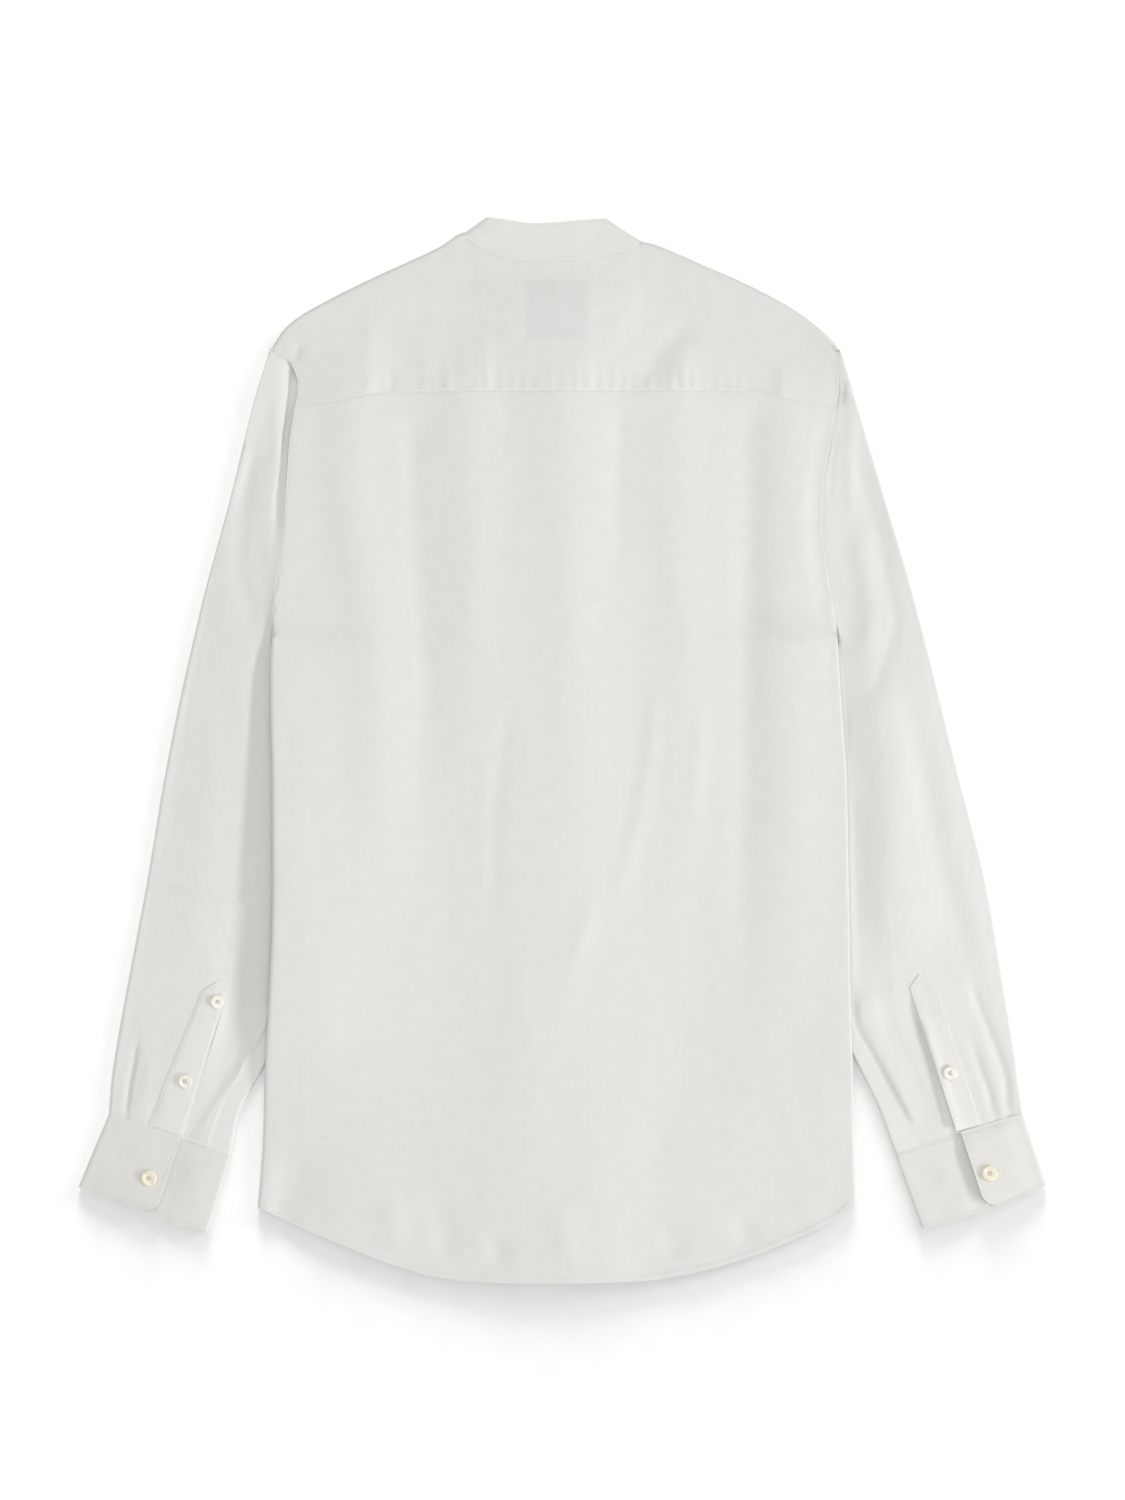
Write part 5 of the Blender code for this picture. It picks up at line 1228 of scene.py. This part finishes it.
def buttonMesh(diameter, material):
    r = diameter / 2
    half = button["thick"] / 2
    dish = button["dish"]
    profile = [(0.0, half - dish), (r * 0.30, half - dish), (r * 0.55, half - dish * 0.85),
               (r * 0.70, half - 0.10), (r * 0.80, half), (r * 0.90, half - 0.05), (r * 0.97, half - 0.35),
               (r, half - 0.75), (r, -half + 0.6), (r * 0.95, -half + 0.15), (r * 0.86, -half), (0.0, -half)]
    mesh = bpy.data.meshes.new("button")
    form = bmesh.new()
    points = [form.verts.new((x * metre, 0, z * metre)) for x, z in profile]
    for a, b in zip(points[:-1], points[1:]):
        form.edges.new((a, b))
    bmesh.ops.spin(form, geom=form.verts[:] + form.edges[:], cent=(0, 0, 0), axis=(0, 0, 1),
                   angle=2 * math.pi, steps=button["segments"])
    bmesh.ops.remove_doubles(form, verts=form.verts[:], dist=1e-6)
    bmesh.ops.recalc_face_normals(form, faces=form.faces[:])
    form.to_mesh(mesh)
    form.free()
    disc = bpy.data.objects.new("button", mesh)
    bpy.context.scene.collection.objects.link(disc)
    cutters = []
    for k in range(4):
        angle = math.pi / 4 + k * math.pi / 2
        place = Vector((math.cos(angle), math.sin(angle), 0)) * button["holeSpread"] * metre
        bpy.ops.mesh.primitive_cylinder_add(vertices=14, radius=button["hole"] * metre, depth=0.01,
                                            location=place)
        cutters.append(bpy.context.object)
        cut = disc.modifiers.new("Hole", "BOOLEAN")
        cut.object = cutters[-1]
    finished(disc, material)
    disc.data.set_sharp_from_angle(angle=math.radians(40))
    for cutter in cutters:
        bpy.data.objects.remove(cutter, do_unlink=True)
    addCross(disc)
    mesh = disc.data
    bpy.data.objects.remove(disc, do_unlink=True)
    return mesh


def addCross(disc):
    # two runs of thread that cross between the holes
    disc.data.materials.append(thread)
    form = bmesh.new()
    form.from_mesh(disc.data)
    length, width, height = (size * metre for size in button["crossSize"])
    lift = (button["thick"] / 2 - button["dish"] + button["crossRise"]) * metre
    for angle in (math.pi / 4, 3 * math.pi / 4):
        for side in (-1, 1):
            run = bmesh.ops.create_uvsphere(form, u_segments=10, v_segments=7, radius=1.0)
            place = Matrix.Translation((0, side * button["crossApart"] * metre, lift))
            place = Matrix.Rotation(angle, 4, "Z") @ place @ Matrix.Diagonal((length, width, height, 1.0))
            bmesh.ops.transform(form, matrix=place, verts=run["verts"])
            for face in {f for v in run["verts"] for f in v.link_faces}:
                face.material_index = 1
                face.smooth = True
    form.to_mesh(disc.data)
    form.free()


def seated(piece, middle):
    # a button rests on the finished cloth beneath it and leans with it
    surface = surfaceOf(piece)
    reach = button["seatReach"] * metre
    found = [surface.ray_cast(Vector((middle.x + dx, middle.y + dy, 0.05)), Vector((0, 0, -1)))[0]
             for dx, dy in ((reach, 0), (-reach, 0), (0, reach), (0, -reach))]
    normal = (found[0] - found[1]).cross(found[2] - found[3]).normalized()
    centre = (found[0] + found[1] + found[2] + found[3]) / 4
    lean = Vector((0, 0, 1)).rotation_difference(normal).to_matrix().to_4x4()
    return Matrix.Translation(centre + normal * (button["thick"] / 2 + button["seatGap"]) * metre) @ lean


def placeButton(node, master, faceDown, turn, cloth=None):
    low, high = (Vector(corner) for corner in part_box(node))
    name = "".join(word.capitalize() if i else word for i, word in enumerate(node.split("_")))
    mesh = master.copy()
    middle = (low + high) / 2
    flip = Matrix.Rotation(math.pi if faceDown else 0.0, 4, "X")
    place = seated(cloth, middle) if cloth else Matrix.Translation(middle) @ flip
    mesh.transform(place @ Matrix.Rotation(math.radians(turn), 4, "Z"))
    piece = bpy.data.objects.new(name, mesh)
    bpy.context.scene.collection.objects.link(piece)
    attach(piece, "root")
    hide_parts(node)
    return piece


creamShell = buttonMaterial("cream shell button", *button["cream"])
paleShell = buttonMaterial("pale shell button", *button["pale"])
bodyButton = buttonMesh(button["frontSize"], creamShell)
placketButton = buttonMesh(button["placketSize"], paleShell)
cuffButton = buttonMesh(button["cuffSize"], creamShell)
for count, turn in enumerate(button["frontTurns"], 1):
    placeButton("front_button_" + str(count), bodyButton, True, turn)
placeButton("collar_button", bodyButton, True, 11)
placeButton("cuff_button_left", cuffButton, False, 20, cuffPieces["Left"])
placeButton("cuff_button_right", cuffButton, False, -12, cuffPieces["Right"])
placeButton("placket_button_left_1", placketButton, False, 8, placketPieces["Left"])
placeButton("placket_button_left_2", placketButton, False, -17, placketPieces["Left"])
placeButton("placket_button_right", placketButton, False, 14, placketPieces["Right"])
print("buttons made")


# Sewing: every row of stitches follows a line on its finished piece
sewing = {
    "pitch": 3.1,          # mm from stitch to stitch
    "length": 2.4,
    "width": 0.36,
    "wander": 4.0,         # degrees
    "proud": 0.08,         # mm above the cloth
    "holePitch": 0.42,     # buttonholes: close satin stitches across the line
    "holeLength": 1.1,
    "holeOver": 1.6,       # how far a buttonhole runs past its button
    "holeHalf": 0.75,
    "armholeInset": 2.4,
    "yokeUp": 2.0,
    "bandShares": (0.07, 0.92),
}


def stitchTree():
    # rows of short threads along curves, each turned to its line and a little uneven
    tree = bpy.data.node_groups.new("Sewn stitches", "GeometryNodeTree")
    sockets = tree.interface
    sockets.new_socket("Geometry", in_out="INPUT", socket_type="NodeSocketGeometry")
    for name in ("Pitch", "Stitch length", "Thread width", "Lean", "Wander"):
        sockets.new_socket(name, in_out="INPUT", socket_type="NodeSocketFloat")
    sockets.new_socket("Seed", in_out="INPUT", socket_type="NodeSocketInt")
    sockets.new_socket("Thread", in_out="INPUT", socket_type="NodeSocketMaterial")
    sockets.new_socket("Geometry", in_out="OUTPUT", socket_type="NodeSocketGeometry")
    given = addNode(tree, "NodeGroupInput").outputs
    curve = addNode(tree, "GeometryNodeMeshToCurve", {"Mesh": given["Geometry"]}).outputs[0]
    even = addNode(tree, "GeometryNodeResampleCurve", {"Curve": curve, "Length": given["Pitch"]},
                   mode="LENGTH")
    tangent = addNode(tree, "GeometryNodeInputTangent").outputs[0]
    turned = addNode(tree, "FunctionNodeAlignRotationToVector", {"Vector": tangent}, axis="X").outputs[0]
    lowest, highest = (addNode(tree, "ShaderNodeMath", {0: given["Lean"], 1: given["Wander"]},
                               operation=kind).outputs[0] for kind in ("SUBTRACT", "ADD"))
    angle = addNode(tree, "FunctionNodeRandomValue", {2: lowest, 3: highest, "Seed": given["Seed"]},
                    data_type="FLOAT").outputs[1]
    spin = addNode(tree, "FunctionNodeAxisAngleToRotation", {"Axis": (0.0, 0.0, 1.0),
                                                             "Angle": angle}).outputs[0]
    rotation = addNode(tree, "FunctionNodeRotateRotation", {"Rotation": turned, "Rotate By": spin},
                       rotation_space="LOCAL").outputs[0]
    size = addNode(tree, "ShaderNodeCombineXYZ", {0: given["Stitch length"], 1: given["Thread width"],
                                                  2: given["Thread width"]}).outputs[0]
    grain = addNode(tree, "GeometryNodeMeshUVSphere", {"Segments": 6, "Rings": 4,
                                                       "Radius": 0.5}).outputs["Mesh"]
    rows = addNode(tree, "GeometryNodeInstanceOnPoints", {"Points": even.outputs[0], "Instance": grain,
                                                          "Rotation": rotation, "Scale": size}).outputs[0]
    real = addNode(tree, "GeometryNodeRealizeInstances", {"Geometry": rows}).outputs[0]
    smooth = addNode(tree, "GeometryNodeSetShadeSmooth", {"Geometry": real}).outputs[0]
    sewn = addNode(tree, "GeometryNodeSetMaterial", {"Geometry": smooth,
                                                     "Material": given["Thread"]}).outputs[0]
    addNode(tree, "NodeGroupOutput", {"Geometry": sewn})
    return tree


def dropped(surface, x, y, below=False):
    # the line x, y laid on a surface from above, or from beneath; parts that miss it are left out
    start, way = (-0.02, 1.0) if below else (0.05, -1.0)
    line = []
    for px, py in zip(*np.broadcast_arrays(x, y)):
        place = surface.ray_cast(Vector((px * metre, py * metre, start)), Vector((0, 0, way)))[0]
        if place is not None:
            line.append(tuple(place - Vector((0, 0, way * sewing["proud"] * metre))))
    return line


def sew(name, lines, hole=False):
    # one joined piece of stitches along the given lines
    points, edges = [], []
    for line in lines:
        edges += [(len(points) + i, len(points) + i + 1) for i in range(len(line) - 1)]
        points += line
    mesh = bpy.data.meshes.new(name)
    mesh.from_pydata(points, edges, [])
    piece = bpy.data.objects.new(name, mesh)
    bpy.context.scene.collection.objects.link(piece)
    given = {
        "Pitch": sewing["holePitch" if hole else "pitch"] * metre,
        "Stitch length": sewing["holeLength" if hole else "length"] * metre,
        "Thread width": sewing["width"] * metre,
        "Lean": math.radians(90.0 if hole else 0.0),
        "Wander": math.radians(sewing["wander"]),
        "Seed": len(name),
        "Thread": thread,
    }
    modifier = piece.modifiers.new("Sewn stitches", "NODES")
    modifier.node_group = sewnRows
    for item in sewnRows.interface.items_tree:
        if item.in_out == "INPUT" and item.name in given:
            modifier[item.identifier] = given[item.name]
    finished(piece, thread)
    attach(piece, "root")
    return piece


def cuffLine(arm, along, down):
    # places on a cuff, in shares of its width and length
    seamOuter, seamInner, endOuter, endInner = (np.array(c) for c in arm["corners"])
    along, down = (v[:, None] for v in np.broadcast_arrays(along, down))
    x, y = blend(blend(seamOuter, seamInner, along), blend(endOuter, endInner, along), down).T
    return x, y + arm["endBow"](along[:, 0]) * down[:, 0] ** 2


def cuffRows(arm, surface):
    width = math.dist(*arm["corners"][:2])
    inset = cuff["stitchInset"]
    down = np.linspace(inset / cuff["length"], 1.0 - inset / cuff["length"], 60)
    fromCorner = np.maximum(0.0, cuff["corner"] - (1.0 - down) * cuff["length"])
    rounding = cuff["corner"] - np.sqrt(np.maximum(0.0, cuff["corner"] ** 2 - fromCorner ** 2))
    lapEdge = arm["lap"] - (rounding + inset) / width
    across = np.linspace(0.02, 0.98, 120)
    places = [(across, down[0]), (across, down[-1]), (lapEdge, down)]
    return [dropped(surface, *cuffLine(arm, *place)) for place in places]


def placketRows(arm, surface):
    form = sleeveForm(arm)
    start = sleeve["placketStart"]
    corners = [(0.985, 0.1), (start + 0.006, 0.1), (start - 0.01, 0.5), (start + 0.006, 0.9), (0.985, 0.9)]
    bar = [(start + 0.03, 0.1), (start + 0.03, 0.9)]
    rows = []
    for path in (corners, bar):
        line = []
        for (t0, a0), (t1, a1) in zip(path[:-1], path[1:]):
            for share in np.linspace(0, 1, 40, endpoint=False):
                x, y, z = placketPoint(arm, form, blend(t0, t1, share), blend(a0, a1, share))
                line.append((float(x), float(y)))
        x, y = np.array(line).T
        rows.append(dropped(surface, x, y))
    return rows


def armholeRows(edge, inward):
    rows = []
    for surface, high, low in ((yokeSurface, 296.0, 264.0), (backSurface, 256.0, 118.0)):
        y = np.linspace(high, low, 60)
        rows.append(dropped(surface, edge(y) + inward * sewing["armholeInset"], y))
    return rows


def buttonhole(node, surface, angle, below=False):
    low, high = (np.array(corner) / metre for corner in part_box(node))
    middle = (low + high) / 2
    half = (high[0] - low[0]) / 2 + sewing["holeOver"]
    way = np.array([math.cos(angle), math.sin(angle)])
    aside = np.array([-way[1], way[0]]) * sewing["holeHalf"]
    reach = np.linspace(-half, half, 50)[:, None]
    return [dropped(surface, *(middle[:2] + side * aside + reach * way).T, below) for side in (-1, 1)]


sewnRows = stitchTree()
backSurface, yokeSurface = surfaceOf(backPiece), surfaceOf(yokePiece)
leftSurface, rightSurface = surfaceOf(frontLeftPiece), surfaceOf(frontRightPiece)
stripSurface = surfaceOf(stripPiece)
seamPlaces = np.linspace(-198, 203, 240)
sew("yokeSeamStitches", [dropped(yokeSurface, seamPlaces, yokeSeam(seamPlaces) + sewing["yokeUp"])])
hemPlaces = np.linspace(-225, 217, 260)
hemUp = backPanel["hemWidth"] - backPanel["hemStitch"]
leftHem, rightHem = np.linspace(-146, -22, 80), np.linspace(14, 134, 80)
sew("hemStitches", [dropped(backSurface, hemPlaces, hemLine(hemPlaces) + hemUp),
                    dropped(leftSurface, leftHem, frontHem(leftHem, -1) + hemUp, True),
                    dropped(rightSurface, rightHem, frontHem(rightHem, 1) + hemUp, True)])
sew("armholeStitches", armholeRows(leftEdge, 1) + armholeRows(rightEdge, -1))
cuffSurfaces = {arm["name"]: surfaceOf(cuffPieces[arm["name"]]) for arm in (leftArm, rightArm)}
placketSurfaces = {arm["name"]: surfaceOf(placketPieces[arm["name"]]) for arm in (leftArm, rightArm)}
for arm in (leftArm, rightArm):
    sew("cuffStitches" + arm["name"], cuffRows(arm, cuffSurfaces[arm["name"]]))
    sew("placketStitches" + arm["name"], placketRows(arm, placketSurfaces[arm["name"]]))
stripPlaces = np.linspace(294, -392, 300)
stripRows = [body["centre"] + side * front["stripStitch"] for side in (-1, 1)]
sew("frontStripStitches", [dropped(stripSurface, x, stripPlaces, True) for x in stripRows])
labelSurface = surfaceOf(labelPiece)
labelX = [label["x"][0] + label["hem"], label["x"][1] - label["hem"]]
labelY = [label["y"][0] + label["hem"], label["y"][1] - label["hem"]]
sew("labelStitches", [dropped(labelSurface, np.linspace(*labelX, 30), y, True) for y in labelY]
    + [dropped(labelSurface, x, np.linspace(*labelY, 30), True) for x in labelX])
bandSurface = surfaceOf(bandPiece)
sewnBand = []
for share in sewing["bandShares"]:
    line = [blend(np.array(row[:2]), np.array(row[2:4]), share) for row in bandSections if row[4] == 0]
    x, y = smoothThrough(line, 12).T
    sewnBand.append(dropped(bandSurface, x, y))
    for half in (bandSections[:8], bandSections[-10:-3]):
        line = [blend(np.array(row[:2]), np.array(row[2:4]), share) for row in half if row[4] == 180]
        x, y = smoothThrough(line, 12).T
        sewnBand.append(dropped(bandSurface, x, y, True))
sew("bandStitches", sewnBand)
holes = []
for arm in (leftArm, rightArm):
    seamOuter, seamInner = arm["corners"][:2]
    angle = math.atan2(seamInner[1] - seamOuter[1], seamInner[0] - seamOuter[0])
    holes += buttonhole("cuff_button_" + arm["name"].lower(), cuffSurfaces[arm["name"]], angle)
for node, arm in (("placket_button_left_1", leftArm), ("placket_button_left_2", leftArm),
                  ("placket_button_right", rightArm)):
    (x0, y0), (x1, y1) = arm["slit"]
    holes += buttonhole(node, placketSurfaces[arm["name"]], math.atan2(y1 - y0, x1 - x0))
for count in range(1, len(button["frontTurns"]) + 1):
    holes += buttonhole("front_button_" + str(count), stripSurface, math.pi / 2, True)
sew("buttonholes", holes, hole=True)
print("stitches made")


# What each piece stands for and the cut of its cloth, in metres
Cut = namedtuple("Cut", "piece nodes flat area restsOn")
cuts = [
    Cut(backPiece, ["back"], (0.58, 0.68), 0.385, ["front_left", "front_right"]),
    Cut(yokePiece, ["yoke"], (0.45, 0.155), 0.058, ["front_left", "front_right"]),
    Cut(frontLeftPiece, ["front_left"], (0.24, 0.78), 0.135, ["front_placket"]),
    Cut(frontRightPiece, ["front_right"], (0.24, 0.78), 0.135, ["front_left"]),
    Cut(stripPiece, ["front_placket"], (0.031, 0.70), None, ["front_left"]),
    Cut(bandPiece, ["collar_band"], (0.45, 0.030), None, ["yoke"]),
    Cut(labelPiece, ["neck_label"], (0.047, 0.045), None, ["yoke"]),
    Cut(sleevePieces["Left"], ["sleeve_left"], (0.36, 0.63), 0.135, ["front_left"]),
    Cut(sleevePieces["Right"], ["sleeve_right"], (0.36, 0.63), 0.135, ["front_right"]),
    Cut(placketPieces["Left"], ["sleeve_placket_left"], (0.024, 0.115), None, ["sleeve_left"]),
    Cut(placketPieces["Right"], ["sleeve_placket_right"], (0.020, 0.115), None, ["sleeve_right"]),
    Cut(cuffPieces["Left"], ["cuff_left"], (0.225, 0.060), None, ["sleeve_left"]),
    Cut(cuffPieces["Right"], ["cuff_right"], (0.225, 0.060), None, ["sleeve_right"]),
]
for cut in cuts:
    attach(cut.piece, "root")
    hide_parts(*cut.nodes)


# Floor, light and camera
studio = {
    "floor": ("#f6f6f6", "#f8f8f8"),
    "cameraHeight": 2.85,
    "lens": 90.0,
    "fill": 0.605,
    "overhead": 8.3,
    "key": 82.0,
    "floorLow": 3.7,
    "floorHigh": 0.66,
    "floorSide": 1.5,
}


def paleFloor():
    bpy.ops.mesh.primitive_plane_add(size=8.0, location=(0, 0, 0))
    plane = bpy.context.object
    plane.name = "paleFloor"
    material, tree, shader = newMaterial("matt white board")
    place = addNode(tree, "ShaderNodeTexCoord").outputs["Object"]
    grain = addNode(tree, "ShaderNodeTexNoise", {"Vector": place, "Scale": 40.0, "Detail": 2.0}).outputs[0]
    share = addNode(tree, "ShaderNodeMapRange", {"Value": grain, "From Min": 0.4, "From Max": 0.6}).outputs[0]
    darker, lighter = (linear(tone) for tone in studio["floor"])
    colour = addNode(tree, "ShaderNodeMix", {"Factor": share, "A": darker, "B": lighter},
                     data_type="RGBA").outputs["Result"]
    tree.links.new(colour, shader.inputs["Base Color"])
    shader.inputs["Roughness"].default_value = 1.0
    shader.inputs["Specular IOR Level"].default_value = 0.0
    plane.data.materials.append(material)
    return plane


def addLight(name, kind, energy, colour, place, target, **settings):
    data = bpy.data.lights.new(name, kind)
    data.energy = energy
    data.color = linear(colour)[:3]
    for key, value in settings.items():
        setattr(data, key, value)
    light = bpy.data.objects.new(name, data)
    light.location = place
    light.rotation_euler = (Vector(target) - Vector(place)).to_track_quat("-Z", "Y").to_euler()
    bpy.context.scene.collection.objects.link(light)
    return light


def lightOnly(light, thing, state):
    group = bpy.data.collections.new(light.name + " receivers")
    group.objects.link(thing)
    light.light_linking.receiver_collection = group
    group.collection_objects[0].light_linking.link_state = state


floor = paleFloor()
world = bpy.data.worlds.new("soft room")
world.use_nodes = True
bpy.context.scene.world = world
background = world.node_tree.nodes["Background"]
background.inputs["Color"].default_value = linear("#fffefd")
background.inputs["Strength"].default_value = studio["fill"]
key = addLight("keyLight", "AREA", studio["key"], "#f8faff", (3.4, -1.3, 1.42), (0, 0, 0),
               shape="RECTANGLE", size=2.1, size_y=0.45)
overhead = addLight("overheadPanel", "AREA", studio["overhead"], "#ffffff", (0, 0.15, 1.7), (0, 0.15, 0),
                    shape="SQUARE", size=0.9)
overhead.visible_camera = False
lightOnly(overhead, floor, "EXCLUDE")
lightOnly(key, floor, "EXCLUDE")
for name, energy, place, angle in (("floorLow", studio["floorLow"], (0, 5.4, 0.92), 19),
                                   ("floorHigh", studio["floorHigh"], (0, 0, 4.0), 10),
                                   ("floorSide", studio["floorSide"], (3.5, 2.27, 0.89), 22)):
    sun = addLight(name, "SUN", energy, "#ffffff", place, (0, 0, 0), angle=math.radians(angle))
    lightOnly(sun, floor, "INCLUDE")

camera = bpy.data.objects.new("camera", bpy.data.cameras.new("camera"))
camera.data.lens = studio["lens"]
camera.data.sensor_width = 36.0
camera.location = (0, 0, studio["cameraHeight"])
bpy.context.scene.collection.objects.link(camera)
bpy.context.scene.camera = camera
bpy.context.scene.view_settings.view_transform = "Standard"
print("studio made")
